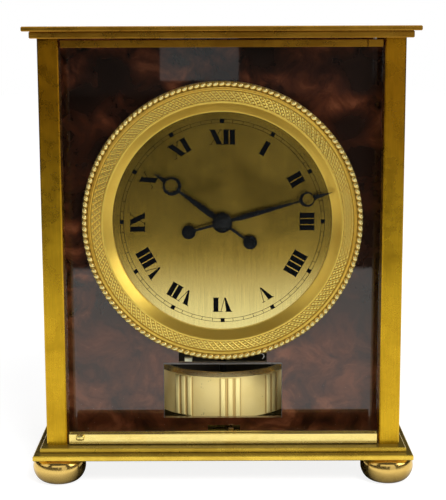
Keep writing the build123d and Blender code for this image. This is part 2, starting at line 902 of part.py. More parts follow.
with BuildPart() as centre_wheel:
    gear(centre_teeth, train_module, 0, centre_wheel_y + pinion_length, wheel_thickness, 0, dial_z)
    crossings(centre_teeth, train_module, centre_wheel_y + pinion_length, wheel_thickness, 0, dial_z)
    gear(centre_pinion_teeth, barrel_module, 0, great_wheel_y + pinion_length, pinion_length, 0, dial_z)
    disc(arbor_radius, back_plate_y - seat_gap, back_plate_y - seat_gap - centre_front_y, 0, dial_z)

with BuildPart() as cannon_pinion:
    disc(cannon_radius, front_plate_y - seat_gap, front_plate_y - seat_gap - minute_hand_y, 0, dial_z)
    gear(cannon_teeth, cannon_module, 0, minute_wheel_y, wheel_thickness, 0, dial_z)
    disc(cannon_bore, front_plate_y + overrun, front_plate_y - minute_hand_y + 2 * overrun,
         0, dial_z, Mode.SUBTRACT)

with BuildPart() as third_wheel:
    gear(third_teeth, train_module, 0, third_wheel_y, wheel_thickness, 0, third_z)
    crossings(third_teeth, train_module, third_wheel_y, wheel_thickness, 0, third_z)
    gear(third_pinion_teeth, train_module, third_phase, train_back_y - wheel_gap, pinion_length,
         0, third_z)
    disc(arbor_radius, back_plate_y - seat_gap / 2, arbor_length, 0, third_z)


def escape_points():
    """Outline of the escape wheel: leaning pointed teeth with a short land at each tip."""
    root = escape_radius - escape_tooth_height
    step = full_turn / escape_teeth
    points = []
    for tooth in range(escape_teeth):
        start = tooth * step
        corners = (
            (root, start),
            (escape_radius, start + escape_lean),
            (escape_radius, start + escape_lean + escape_land),
            (root, start + escape_lean + 2 * escape_land),
        )
        for radius, angle in corners:
            points.append((radius * cos(radians(angle)), radius * sin(radians(angle))))
    return points


with BuildPart() as escape_wheel:
    with BuildSketch(facing(escapement_y, 0, escape_z)):
        with BuildLine():
            Polyline(*escape_points(), close=True)
        make_face()
        with PolarLocations(escape_radius / 2, spoke_count):
            Circle(wheel_spoke, mode=Mode.SUBTRACT)
    extrude(amount=wheel_thickness)
    gear(escape_pinion_teeth, train_module, escape_phase, third_wheel_y + wheel_gap, pinion_length,
         0, escape_z)
    disc(arbor_radius, bridge_y + wheel_thickness, bridge_y + wheel_thickness - front_plate_y - seat_gap,
         0, escape_z)

with BuildPart() as barrel:
    gear(barrel_teeth, barrel_module, barrel_phase, great_wheel_y + wheel_thickness, wheel_thickness,
         0, barrel_z)
    disc(barrel_radius, great_wheel_y + wheel_thickness + barrel_length, barrel_length, 0, barrel_z)
    disc(barrel_arbor_radius + turning_gap, train_back_y, plate_room, 0, barrel_z, Mode.SUBTRACT)

# Motion work
with BuildPart() as minute_wheel:
    gear(minute_wheel_teeth, cannon_module, minute_phase, minute_wheel_y, wheel_thickness,
         minute_wheel_x, minute_wheel_z)
    gear(minute_pinion_teeth, hour_module, 0, minute_wheel_y - wheel_thickness,
         wheel_thickness + wheel_gap, minute_wheel_x, minute_wheel_z)
    disc(arbor_radius, train_front_y, train_front_y - minute_wheel_y + wheel_gap,
         minute_wheel_x, minute_wheel_z)

with BuildPart() as hour_wheel:
    gear(hour_wheel_teeth, hour_module, hour_phase, hour_wheel_y, wheel_thickness, 0, dial_z)
    disc(hour_pipe_radius, hour_wheel_y, hour_wheel_y - hour_hand_y + hand_thickness, 0, dial_z)
    disc(hour_pipe_bore, hour_wheel_y + overrun, hour_wheel_y - hour_hand_y + 2 * overrun,
         0, dial_z, Mode.SUBTRACT)

# Escapement: the pallet lever and the bridge that carries the rear pivots
with BuildPart() as pallet_lever:
    with BuildSketch(facing(escapement_y, 0, lever_z)):
        Circle(lever_hub)
        for side in (-1, 1):
            with BuildLine():
                Polyline(
                    (0, -lever_hub),
                    *[(side * pallet_reach * across, pallet_rise * up)
                      for across, up in pallet_corner_shares],
                    (0, lever_hub * lever_back_share),
                    close=True,
                )
            make_face()
        with Locations((0, (fork_z - lever_z) / 2)):
            Rectangle(lever_waist, lever_z - fork_z)
        with Locations((0, fork_z - lever_z + fork_height / 2)):
            Rectangle(fork_width, fork_height)
        with Locations((0, fork_z - lever_z)):
            Rectangle(fork_slot, fork_height, mode=Mode.SUBTRACT)
    extrude(amount=wheel_thickness)
    disc(arbor_radius, bridge_y + wheel_thickness, bridge_y + wheel_thickness - train_back_y - seat_gap,
         0, lever_z)

bridge_top = escape_z + bridge_margin
bridge_bottom = lever_z - bridge_margin
with BuildPart() as escapement_bridge:
    with BuildSketch(facing(bridge_y + plate_thickness, 0, (bridge_top + bridge_bottom) / 2)):
        RectangleRounded(bridge_width, bridge_top - bridge_bottom, bridge_margin / 2)
    extrude(amount=plate_thickness)
    for side in (-1, 1):
        disc(bridge_foot_radius, bridge_y, bridge_y - back_plate_y,
             side * (bridge_width / 2 - bridge_foot_inset), (escape_z + lever_z) / 2)
    pivot_hole(arbor_radius, bridge_y + plate_thickness, 0, escape_z)
    pivot_hole(arbor_radius, bridge_y + plate_thickness, 0, lever_z)

# Torsion pendulum: ring with groups of raised ribs, spider, and tube with the impulse arm
with BuildPart() as pendulum_ring:
    with BuildSketch(level(pendulum_z, 0, pendulum_y)):
        for rib in (-1, 0, 1):
            first = rib_group_turn + rib * rib_step - quarter_turn
            with PolarLocations(pendulum_body_radius, rib_group_count, start_angle=first):
                Rectangle(2 * rib_depth, rib_width)
        Circle(pendulum_body_radius)
        Circle(pendulum_bore, mode=Mode.SUBTRACT)
    extrude(amount=pendulum_height)
    with BuildSketch(turned_upright(0, pendulum_y)):
        with BuildLine():
            Polyline(
                (pendulum_bore, pendulum_top),
                (pendulum_body_radius, pendulum_top),
                (pendulum_body_radius - pendulum_bevel_run, pendulum_top + pendulum_bevel),
                (pendulum_bore, pendulum_top + pendulum_bevel),
                close=True,
            )
        make_face()
    revolve(axis=upright_axis(0, pendulum_y))

with BuildPart() as pendulum_spider:
    with BuildSketch(level(spider_z, 0, pendulum_y)):
        Circle(pendulum_bore - press_gap)
        Circle(pendulum_bore - spider_rim, mode=Mode.SUBTRACT)
        with PolarLocations(pendulum_bore / 2, spider_spoke_count):
            Rectangle(pendulum_bore - spider_rim, spider_spoke)
        Circle(spider_hub)
    extrude(amount=spider_thickness)
    column(spider_hub, spider_z, spider_hub_height, 0, pendulum_y)

tube_z = spider_z + spider_hub_height
with BuildPart() as pendulum_tube:
    column(tube_radius, tube_z, impulse_arm_top - tube_z, 0, pendulum_y)
    with BuildSketch(level(impulse_arm_z, 0, pendulum_y - impulse_pin_reach / 2)):
        Rectangle(impulse_arm_width, impulse_pin_reach + impulse_arm_width)
    extrude(amount=impulse_arm_thickness)
    column(impulse_pin_radius, impulse_arm_z, impulse_pin_top - impulse_arm_z,
           0, pendulum_y - impulse_pin_reach)
    column(wire_radius + press_gap, impulse_arm_top - wire_hold, wire_hold + overrun,
           0, pendulum_y, Mode.SUBTRACT)

# Suspension: hanger on the back plate, clamp, regulator index and wire
with BuildPart() as suspension_bracket:
    with BuildSketch(facing(back_plate_y + hanger_thickness, 0, plates_top - hanger_height / 2)):
        Rectangle(hanger_width, hanger_height)
    extrude(amount=hanger_thickness)
    arm_back_y = pendulum_y + hanger_arm_overhang
    with BuildSketch(level(hanger_arm_z, 0, (back_plate_y + arm_back_y) / 2)):
        Rectangle(hanger_arm_width, arm_back_y - back_plate_y)
    extrude(amount=hanger_arm_height)
    column(clamp_radius + press_gap, hanger_arm_z - overrun, hanger_arm_height + 2 * overrun,
           0, pendulum_y, Mode.SUBTRACT)

clamp_z = hanger_arm_z - clamp_drop
with BuildPart() as suspension_clamp:
    column(clamp_radius, clamp_z, hanger_arm_top + clamp_rise - clamp_z, 0, pendulum_y)
    column(wire_radius + turning_gap, clamp_z - overrun, clamp_drop + overrun,
           0, pendulum_y, Mode.SUBTRACT)

with BuildPart() as regulator_index:
    with BuildSketch(level(hanger_arm_top, 0, pendulum_y)):
        Circle(index_ring_radius)
        with Locations((-index_length / 2, 0)):
            Rectangle(index_length, index_width)
        Circle(clamp_radius + turning_gap, mode=Mode.SUBTRACT)
    extrude(amount=index_thickness)

with BuildPart() as suspension_wire:
    column(wire_radius, impulse_arm_top - wire_hold, clamp_z + clamp_drop - impulse_arm_top + wire_hold,
           0, pendulum_y)


# Winding: chain pulley on the barrel arbor, guide pulley, chain
def pulley_profile(radius):
    """Half section of a grooved pulley: radius across, width up."""
    groove_floor = radius - link_width / 2 - seat_gap
    flange = radius + pulley_flange
    half = pulley_width / 2
    Polyline(
        (0, -half),
        (flange, -half),
        (flange, -half + pulley_cheek),
        (groove_floor, -half + pulley_cheek),
        (groove_floor, half - pulley_cheek),
        (flange, half - pulley_cheek),
        (flange, half),
        (0, half),
        close=True,
    )


with BuildPart() as winding_arbor:
    with BuildSketch(turned_forward(chain_y, 0, barrel_z)):
        with BuildLine():
            pulley_profile(chain_pulley_radius)
        make_face()
    revolve(axis=forward_axis(0, barrel_z))
    disc(barrel_arbor_radius, chain_y, chain_y - front_plate_y - seat_gap, 0, barrel_z)

with BuildPart() as guide_pulley:
    with BuildSketch(Plane(origin=(chain_x, guide_y, guide_z), x_dir=(0, 0, 1), z_dir=(0, -1, 0))):
        with BuildLine():
            pulley_profile(guide_pulley_radius)
        make_face()
    revolve(axis=Axis((0, guide_y, guide_z), (1, 0, 0)))
    with BuildSketch(Plane(origin=(chain_x, guide_y, guide_z), x_dir=(0, 1, 0), z_dir=(1, 0, 0))):
        Circle(guide_pin_radius + turning_gap)
    extrude(amount=pulley_width, both=True, mode=Mode.SUBTRACT)

guide_arm_x = chain_x + pulley_width / 2 + seat_gap
with BuildPart() as guide_bracket:
    with BuildSketch(Plane(origin=(guide_arm_x, 0, guide_z), x_dir=(0, 1, 0), z_dir=(1, 0, 0))):
        with Locations(((back_plate_y + guide_y + guide_arm_height / 2) / 2, 0)):
            Rectangle(guide_y + guide_arm_height / 2 - back_plate_y, guide_arm_height)
    extrude(amount=guide_arm_thickness)
    foot_x_middle = guide_arm_x + guide_arm_thickness + guide_foot_width / 2
    with BuildSketch(facing(back_plate_y + guide_foot_thickness, foot_x_middle, guide_z)):
        Rectangle(guide_foot_width, guide_arm_height)
    extrude(amount=guide_foot_thickness)
    with BuildSketch(Plane(origin=(guide_arm_x, guide_y, guide_z), x_dir=(0, 1, 0), z_dir=(-1, 0, 0))):
        Circle(guide_pin_radius)
    extrude(amount=pulley_width + 2 * seat_gap)

chain_drop = barrel_z - guide_z
chain_bend = guide_pulley_radius * pi / 2
chain_length = chain_drop + chain_bend + hook_y - guide_y
link_step = link_length - 2 * link_wire - link_play


def chain_place(run):
    """Place in the plane of the chain, and its slope, at the length run from the barrel arbor."""
    if run < chain_drop:
        return chain_y, barrel_z - run, -pi / 2
    if run < chain_drop + chain_bend:
        turn = (run - chain_drop) / guide_pulley_radius
        y = chain_y + guide_pulley_radius * (1 - cos(turn))
        return y, guide_z - guide_pulley_radius * sin(turn), turn - pi / 2
    return guide_y + run - chain_drop - chain_bend, guide_z - guide_pulley_radius, 0


with BuildPart() as winding_chain:
    for link in range(int(chain_length / link_step)):
        link_y, link_z, slope = chain_place((link + 1 / 2) * link_step)
        along = (0, cos(slope), sin(slope))
        across = (1, 0, 0) if link % 2 else (0, -sin(slope), cos(slope))
        with BuildSketch(Plane(origin=(chain_x, link_y, link_z), x_dir=along, z_dir=across)):
            SlotOverall(link_length, link_width)
            SlotOverall(link_length - 2 * link_wire, link_width - 2 * link_wire, mode=Mode.SUBTRACT)
        extrude(amount=link_wire / 2, both=True)

# Bellows: drum with its cap and pillars, pressure plate, spring and folded capsule
with BuildPart() as drum_cap:
    disc(drum_radius, drum_front_y, drum_wall, 0, drum_z)
    disc(drum_mouth_radius, drum_front_y + overrun, drum_wall + 2 * overrun, 0, drum_z, Mode.SUBTRACT)
    for corner in range(drum_pillar_count):
        turn = radians((corner + 1 / 2) * full_turn / drum_pillar_count)
        disc(drum_pillar_radius, drum_cap_y, drum_stand_off,
             drum_pillar_place * cos(turn), drum_z + drum_pillar_place * sin(turn))

with BuildPart() as bellows_drum:
    disc(drum_radius, drum_back_y, drum_length, 0, drum_z)
    disc(drum_radius - drum_wall, drum_back_y - drum_wall, drum_length + overrun, 0, drum_z,
         Mode.SUBTRACT)

with BuildPart() as bellows_spring:
    disc(spring_radius, pressure_plate_y, spring_length, 0, drum_z)
    disc(spring_radius - spring_wall, pressure_plate_y + overrun, spring_length + 2 * overrun,
         0, drum_z, Mode.SUBTRACT)

with BuildPart() as bellows_pressure_plate:
    disc(pressure_plate_radius, capsule_y, pressure_plate_thickness, 0, drum_z)
    disc(hook_radius, pressure_plate_y, hook_length - link_length / 2, chain_x, drum_z)

capsule_end = drum_back_y - drum_wall
fold_step = (capsule_end - capsule_y) / capsule_folds
with BuildPart() as bellows_capsule:
    with BuildSketch(turned_forward(capsule_end, 0, drum_z)):
        outline_points = [(0, 0)]
        for fold in range(capsule_folds):
            outline_points.append((capsule_radius - capsule_fold, fold * fold_step))
            outline_points.append((capsule_radius, (fold + 1 / 2) * fold_step))
        outline_points.append((capsule_radius - capsule_fold, capsule_end - capsule_y))
        outline_points.append((0, capsule_end - capsule_y))
        with BuildLine():
            Polyline(*outline_points, close=True)
        make_face()
    revolve(axis=forward_axis(0, drum_z))

# Pendulum lock: post, lever and lifter
with BuildPart() as lock_post:
    column(lock_post_radius, floor_z, spider_z - 2 * seat_gap - floor_z, 0, pendulum_y)

lock_turn = radians(lock_rest_angle)
lock_plane = Plane(
    origin=(0, pendulum_y, floor_z + lock_arm_lift),
    x_dir=(sin(lock_turn), -cos(lock_turn), 0),
    z_dir=(0, 0, 1),
)
with BuildPart() as lock_lever:
    column(lock_hub_radius, floor_z, lock_hub_height, 0, pendulum_y)
    with BuildSketch(lock_plane):
        with Locations((lock_reach / 2, 0)):
            Rectangle(lock_reach, lock_arm_width)
    extrude(amount=lock_arm_thickness)
    with BuildSketch(lock_plane):
        with Locations((lock_reach - lock_tip_length / 2, 0)):
            Rectangle(lock_tip_length, lock_arm_width)
    extrude(amount=lock_arm_thickness + lock_tip_height)
    column(lock_post_radius + turning_gap, floor_z - overrun, lock_hub_height + 2 * overrun,
           0, pendulum_y, Mode.SUBTRACT)

with BuildPart() as lock_lifter:
    column(lifter_radius, lifter_z, lifter_thickness, 0, pendulum_y)
    column(lock_post_radius + turning_gap, lifter_z - overrun, lifter_thickness + 2 * overrun,
           0, pendulum_y, Mode.SUBTRACT)

# Every piece is labelled with its name and written to a file of its own
pieces = {
    "top_plate": top_plate,
    "top_frame_plate": top_frame_plate,
    "base_top_plate": base_top_plate,
    "base_bottom_plate": base_bottom_plate,
    "front_left_pillar": front_left_pillar,
    "front_right_pillar": front_right_pillar,
    "rear_left_pillar": rear_left_pillar,
    "rear_right_pillar": rear_right_pillar,
    "front_left_foot": front_left_foot,
    "front_right_foot": front_right_foot,
    "rear_feet": rear_feet,
    "left_side_glass": left_side_glass,
    "right_side_glass": right_side_glass,
    "rear_glass": rear_glass,
    "fascia_panel": fascia_panel,
    "panel_brackets": panel_brackets,
    "bezel": bezel,
    "dial_plate": dial_plate,
    "door_glass": door_glass,
    "door_top_rail": door_top_rail,
    "door_bottom_rail": door_bottom_rail,
    "door_hinge_block": door_hinge_block,
    "door_hinge_pins": door_hinge_pins,
    "door_knob": door_knob,
    "movement_posts": movement_posts,
    "movement_platform": movement_platform,
    "movement_front_plate": movement_front_plate,
    "movement_back_plate": movement_back_plate,
    "movement_pillars": movement_pillars,
    "centre_wheel": centre_wheel,
    "cannon_pinion": cannon_pinion,
    "third_wheel": third_wheel,
    "escape_wheel": escape_wheel,
    "barrel": barrel,
    "minute_wheel": minute_wheel,
    "hour_wheel": hour_wheel,
    "minute_hand": minute_hand,
    "hour_hand": hour_hand,
    "hand_nut": hand_nut,
    "pallet_lever": pallet_lever,
    "escapement_bridge": escapement_bridge,
    "pendulum_ring": pendulum_ring,
    "pendulum_spider": pendulum_spider,
    "pendulum_tube": pendulum_tube,
    "suspension_bracket": suspension_bracket,
    "suspension_clamp": suspension_clamp,
    "suspension_wire": suspension_wire,
    "regulator_index": regulator_index,
    "winding_arbor": winding_arbor,
    "guide_pulley": guide_pulley,
    "guide_bracket": guide_bracket,
    "winding_chain": winding_chain,
    "drum_cap": drum_cap,
    "bellows_drum": bellows_drum,
    "bellows_spring": bellows_spring,
    "bellows_pressure_plate": bellows_pressure_plate,
    "bellows_capsule": bellows_capsule,
    "lock_post": lock_post,
    "lock_lever": lock_lever,
    "lock_lifter": lock_lifter,
}
for name, piece in pieces.items():
    piece.part.label = name
    export_step(piece.part, f"parts/{name}.step")

print("pieces written:", len(pieces))
print("overall height:", round(top_z + top_thickness, 3))
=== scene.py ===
from math import asin, cos, pi, radians, sin

import bpy
from mathutils import Matrix, Vector


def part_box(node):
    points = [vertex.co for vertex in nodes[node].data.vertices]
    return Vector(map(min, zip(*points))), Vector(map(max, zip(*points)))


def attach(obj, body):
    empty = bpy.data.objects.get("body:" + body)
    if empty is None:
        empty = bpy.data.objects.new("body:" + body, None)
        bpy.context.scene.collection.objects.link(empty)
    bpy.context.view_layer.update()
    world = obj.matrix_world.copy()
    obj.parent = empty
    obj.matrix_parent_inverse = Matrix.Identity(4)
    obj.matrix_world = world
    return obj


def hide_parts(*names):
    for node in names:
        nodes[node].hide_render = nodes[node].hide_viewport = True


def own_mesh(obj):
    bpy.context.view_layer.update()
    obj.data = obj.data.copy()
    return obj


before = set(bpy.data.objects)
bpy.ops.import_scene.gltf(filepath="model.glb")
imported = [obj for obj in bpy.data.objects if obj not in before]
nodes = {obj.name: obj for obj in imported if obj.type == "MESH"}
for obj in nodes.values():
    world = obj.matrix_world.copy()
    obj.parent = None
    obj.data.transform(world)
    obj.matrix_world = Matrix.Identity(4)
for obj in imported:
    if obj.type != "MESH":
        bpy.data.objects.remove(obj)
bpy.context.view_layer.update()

mm = 0.001

# places read from the frame
dialLow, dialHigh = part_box("dial_plate")
dialZ = (dialLow.z + dialHigh.z) / 2
dialFrontY = dialLow.y
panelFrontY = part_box("fascia_panel")[0].y
ringLow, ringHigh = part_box("pendulum_ring")
pendulumY = (ringLow.y + ringHigh.y) / 2
print("frame loaded,", len(nodes), "nodes")


# helpers for the node trees of the finishes; an input takes a socket or a plain value
def feed(tree, node, inputs):
    for name, source in inputs.items():
        if isinstance(source, bpy.types.NodeSocket):
            tree.links.new(source, node.inputs[name])
        else:
            node.inputs[name].default_value = source


def startMaterial(name):
    material = bpy.data.materials.new(name)
    material.use_nodes = True
    tree = material.node_tree
    return material, tree, tree.nodes["Principled BSDF"]


def addNode(tree, kind, inputs, **settings):
    node = tree.nodes.new("ShaderNode" + kind)
    for key, value in settings.items():
        setattr(node, key, value)
    feed(tree, node, inputs)
    return node


def places(tree, scale=(1, 1, 1), shift=(0, 0, 0)):
    coords = addNode(tree, "TexCoord", {}).outputs["Object"]
    return addNode(tree, "Mapping", {"Vector": coords, "Scale": scale, "Location": shift}).outputs["Vector"]


def noise(tree, vector, scale, detail=3.0, roughness=0.55, distortion=0.0):
    inputs = {"Vector": vector, "Scale": scale, "Detail": detail, "Roughness": roughness,
              "Distortion": distortion}
    return addNode(tree, "TexNoise", inputs).outputs["Fac"]


def cells(tree, vector, scale):
    return addNode(tree, "TexVoronoi", {"Vector": vector, "Scale": scale}).outputs["Distance"]


def ramp(tree, fac, stops):
    node = addNode(tree, "ValToRGB", {"Fac": fac})
    elements = node.color_ramp.elements
    while len(elements) < len(stops):
        elements.new(0.5)
    for element, (place, colour) in zip(elements, stops):
        element.position = place
        element.color = (*colour, 1)
    return node.outputs["Color"]


def mapRange(tree, value, low, high, toLow=0.0, toHigh=1.0, smooth=False):
    inputs = {"Value": value, "From Min": low, "From Max": high, "To Min": toLow, "To Max": toHigh}
    kind = "SMOOTHSTEP" if smooth else "LINEAR"
    return addNode(tree, "MapRange", inputs, clamp=True, interpolation_type=kind).outputs["Result"]


def maths(tree, operation, a, b=0.0):
    return addNode(tree, "Math", {0: a, 1: b}, operation=operation).outputs[0]


def mixColour(tree, fac, a, b, kind="MIX"):
    a, b = ((*colour, 1) if isinstance(colour, tuple) else colour for colour in (a, b))
    return addNode(tree, "Mix", {0: fac, 6: a, 7: b}, data_type="RGBA", blend_type=kind).outputs[2]


def tinted(tree, colour, tint):
    return mixColour(tree, 1.0, colour, tint, "MULTIPLY")


def bump(tree, height, strength):
    inputs = {"Height": height, "Strength": strength, "Distance": 0.1 * mm}
    return addNode(tree, "Bump", inputs).outputs["Normal"]


def axisPart(tree, vector, axis):
    return addNode(tree, "SeparateXYZ", {0: vector}).outputs[axis]


def length(tree, vector):
    return addNode(tree, "VectorMath", {0: vector}, operation="LENGTH").outputs["Value"]


def withPaintedShade(tree, colour, shade):  # this attribute gives the share of painted shade at each point, deep in a pattern and beside the drum's ribs; on the bezel it also carries patina
    paintedShadeShare = addNode(tree, "Attribute", {}, attribute_name="paintedShadeShare")
    return mixColour(tree, paintedShadeShare.outputs["Fac"], colour, shade)


def ringDistance(tree, centre, axis):  # from an axis that runs through centre along X, Y or Z
    scale = tuple(0.0 if a == axis else 1.0 for a in "XYZ")
    shift = tuple(0.0 if a == axis else -c for a, c in zip("XYZ", centre))
    return length(tree, places(tree, scale, shift))


# brass, gilt, tin and steel: every one has tarnish clouds and a grain, and some have more
metals = {
    "oldBrass": {
        "clean": (0.70, 0.42, 0.020), "tarnish": (0.56, 0.325, 0.014), "cloudScale": 48,
        "cloudRange": (0.40, 0.66), "rough": (0.22, 0.34), "grain": (700, 700, 60), "grainDepth": 0.08,
        "metallic": 0.97, "shadeAbove": (0.10, 0.205, (0.65, 0.49, 0.34)),
        "streaks": (0.12, 1300, 1300, 70),
    },
    "plateBrass": {
        "clean": (0.66, 0.42, 0.045), "tarnish": (0.52, 0.30, 0.026), "cloudScale": 60,
        "cloudRange": (0.40, 0.68), "rough": (0.24, 0.36), "grain": (60, 700, 700), "grainDepth": 0.06,
        "metallic": 0.96, "shadeAbove": (0.11, 0.205, (0.66, 0.53, 0.48)), "shadeOnTops": (0.5, 0.5, 0.6),
        "streaks": (0.14, 90, 1500, 1500),
    },
    "baseBrass": {
        "clean": (0.80, 0.54, 0.06), "tarnish": (0.64, 0.41, 0.04), "cloudScale": 70,
        "cloudRange": (0.42, 0.7), "rough": (0.24, 0.36), "grain": (60, 700, 700), "grainDepth": 0.06,
        "metallic": 0.72, "shadeOnTops": (0.28, 0.29, 0.42), "streaks": (0.14, 90, 1500, 1500),
    },
    "brightRail": {
        "clean": (1.0, 0.79, 0.26), "tarnish": (0.92, 0.66, 0.16), "cloudScale": 60,
        "cloudRange": (0.5, 0.85), "rough": (0.14, 0.24), "grain": (900, 200, 120), "grainDepth": 0.05,
        "metallic": 0.9, "streaks": (0.05, 60, 900, 900),
    },
    "bezelGilt": {
        "clean": (0.95, 0.65, 0.125), "tarnish": (0.89, 0.59, 0.10), "cloudScale": 70,
        "cloudRange": (0.42, 0.75), "rough": (0.28, 0.34), "ringPitch": 0.7, "grainDepth": 0.03,
        "metallic": 0.9, "hollowShadeAndPatina": (0.42, 0.26, 0.04),
    },
    "beadGilt": {
        "clean": (1.0, 0.80, 0.33), "tarnish": (0.96, 0.72, 0.24), "cloudScale": 120,
        "cloudRange": (0.45, 0.8), "rough": (0.18, 0.25), "grain": (900, 900, 900), "grainDepth": 0.02,
        "metallic": 0.88, "hollowShadeAndPatina": (0.40, 0.22, 0.03),
    },
    "dialGilt": {
        "clean": (1.0, 0.81, 0.33), "tarnish": (0.98, 0.76, 0.28), "cloudScale": 30,
        "cloudRange": (0.35, 0.8), "rough": (0.22, 0.27), "grain": (1100, 1100, 20), "grainDepth": 0.08,
        "stretch": (0.7, (1, 0, 0)), "shadeAbove": (0.074, 0.120, (0.68, 0.55, 0.27)),
        "streaks": (0.13, 1900, 1900, 40),
    },
    "movementBrass": {
        "clean": (0.86, 0.62, 0.18), "tarnish": (0.72, 0.48, 0.11), "cloudScale": 60,
        "cloudRange": (0.45, 0.8), "rough": (0.2, 0.32), "grain": (1000, 1000, 150), "grainDepth": 0.1,
    },
    "tinPlate": {
        "clean": (0.62, 0.61, 0.57), "tarnish": (0.44, 0.42, 0.37), "cloudScale": 90,
        "cloudRange": (0.45, 0.8), "rough": (0.25, 0.4), "ringPitch": 0.8, "grainDepth": 0.08,
    },
    "brightSteel": {
        "clean": (0.56, 0.57, 0.58), "tarnish": (0.40, 0.40, 0.39), "cloudScale": 120,
        "cloudRange": (0.5, 0.85), "rough": (0.16, 0.28), "grain": (900, 900, 900), "grainDepth": 0.06,
    },
    "footBrass": {
        "clean": (0.82, 0.55, 0.15), "tarnish": (0.68, 0.43, 0.10), "cloudScale": 60,
        "cloudRange": (0.45, 0.8), "rough": (0.11, 0.17), "grain": (200, 200, 900), "grainDepth": 0.02,
        "metallic": 0.94,
    },
    "darkenedBrass": {
        "clean": (0.050, 0.040, 0.028), "tarnish": (0.022, 0.018, 0.013), "cloudScale": 90,
        "cloudRange": (0.4, 0.8), "rough": (0.5, 0.7), "grain": (900, 900, 900), "grainDepth": 0.2,
    },
}
metals["railBrass"] = {**metals["plateBrass"], "clean": (0.58, 0.35, 0.03), "tarnish": (0.44, 0.25, 0.02)}
metals["bandGilt"] = {**metals["beadGilt"], "clean": (1.0, 0.79, 0.23), "tarnish": (1.0, 0.73, 0.18),
                      "rough": (0.2, 0.28), "metallic": 0.97, "hollowShadeAndPatina": (0.60, 0.34, 0.035)}
# shared by all metals; a noise is (detail, roughness, distortion), and level is how far a top looks up
metalGrain = {"cloudNoise": (4, 0.6, 0.4), "streakNoise": (3, 0.7), "streakRange": (0.25, 0.75),
              "wearScale": 2.3, "wearRange": (0.3, 0.7), "grainNoise": (3, 0.6), "ringDetail": 2,
              "level": (0.75, 0.9)}


def metalFinish(name, v):
    material, tree, shader = startMaterial(name)
    vector = places(tree)
    clouds = noise(tree, vector, v["cloudScale"], *metalGrain["cloudNoise"])
    colour = mixColour(tree, mapRange(tree, clouds, *v["cloudRange"]), v["clean"], v["tarnish"])
    # painted shade: higher up, the colour is darkened where the upright metal mirrors the dark room instead of
    # the white floor
    if "shadeAbove" in v:
        low, high, tint = v["shadeAbove"]
        up = mapRange(tree, axisPart(tree, vector, "Z"), low, high, smooth=True)
        colour = mixColour(tree, up, colour, tinted(tree, colour, tint))
    if "hollowShadeAndPatina" in v:  # painted shade in the deep parts of the pattern, with dark patina there too
        colour = withPaintedShade(tree, colour, v["hollowShadeAndPatina"])
    if "shadeOnTops" in v:  # painted shade: level tops are darkened, where they mirror the dark room above
        normal = addNode(tree, "NewGeometry", {}).outputs["Normal"]
        level = mapRange(tree, axisPart(tree, normal, "Z"), *metalGrain["level"])
        colour = mixColour(tree, level, colour, tinted(tree, colour, v["shadeOnTops"]))
    if "streaks" in v:
        amount, *scale = v["streaks"]
        lines = noise(tree, places(tree, tuple(scale)), 1.0, *metalGrain["streakNoise"])
        lines = mapRange(tree, lines, *metalGrain["streakRange"], 1 - amount, 1 + amount)
        colour = tinted(tree, colour, lines)
    worn = noise(tree, vector, v["cloudScale"] * metalGrain["wearScale"])
    if "ringPitch" in v:  # turned on a lathe about the middle of the dial
        across = maths(tree, "MULTIPLY", ringDistance(tree, (0, 0, dialZ), "Y"), 1 / (v["ringPitch"] * mm))
        inputs = {"Scale": 1.0, "Detail": metalGrain["ringDetail"], "W": across}
        grain = addNode(tree, "TexNoise", inputs, noise_dimensions="1D").outputs["Fac"]
    else:
        grain = noise(tree, places(tree, v["grain"]), 1.0, *metalGrain["grainNoise"])
    feed(tree, shader, {"Base Color": colour, "Metallic": v.get("metallic", 1.0),
                        "Roughness": mapRange(tree, worn, *metalGrain["wearRange"], *v["rough"]),
                        "Normal": bump(tree, grain, v["grainDepth"])})
    if "stretch" in v:  # the brushing draws reflections out
        amount, along = v["stretch"]
        tangent = addNode(tree, "CombineXYZ", dict(enumerate(along))).outputs[0]
        feed(tree, shader, {"Anisotropic": amount, "Tangent": tangent})
    return material


# clouded red-brown with darker eyes, paler towards the foot, under clear gloss
lacquer = {
    "shift": (0.03, 0.0, 0.022), "swirl": 0.014, "swirlScale": 38, "swirlDetail": 4, "swirlRough": 0.6,
    "eyeScale": 34, "eyeSize": 0.16, "eyeEdge": 0.34, "eyeSoft": 0.35,
    "patchNoise": (13, 3, 0.55), "patchRange": (0.36, 0.54), "smokeNoise": (54.6, 5, 0.65, 0.8),
    "smokeRange": (0.36, 0.66), "palerBelow": (0.055, 0.105), "palerRange": (0.20, 0.80),
    "stops": [(0.0, (0.0016, 0.0010, 0.0008)), (0.22, (0.011, 0.0032, 0.0016)),
              (0.5, (0.048, 0.0118, 0.0045)), (1.0, (0.150, 0.047, 0.020))],
    "dustScale": 420, "dustSize": (0.07, 0.03), "dustNoise": (90, 1), "dustPatch": (0.66, 0.7),
    "dust": (0.2, 0.15, 0.12), "rough": (0.28, 0.31), "shine": 0.38, "shineTint": (1.0, 0.5, 0.36, 1),
    "coat": 1.0, "coatIor": 1.66, "coatRough": 0.02,
}


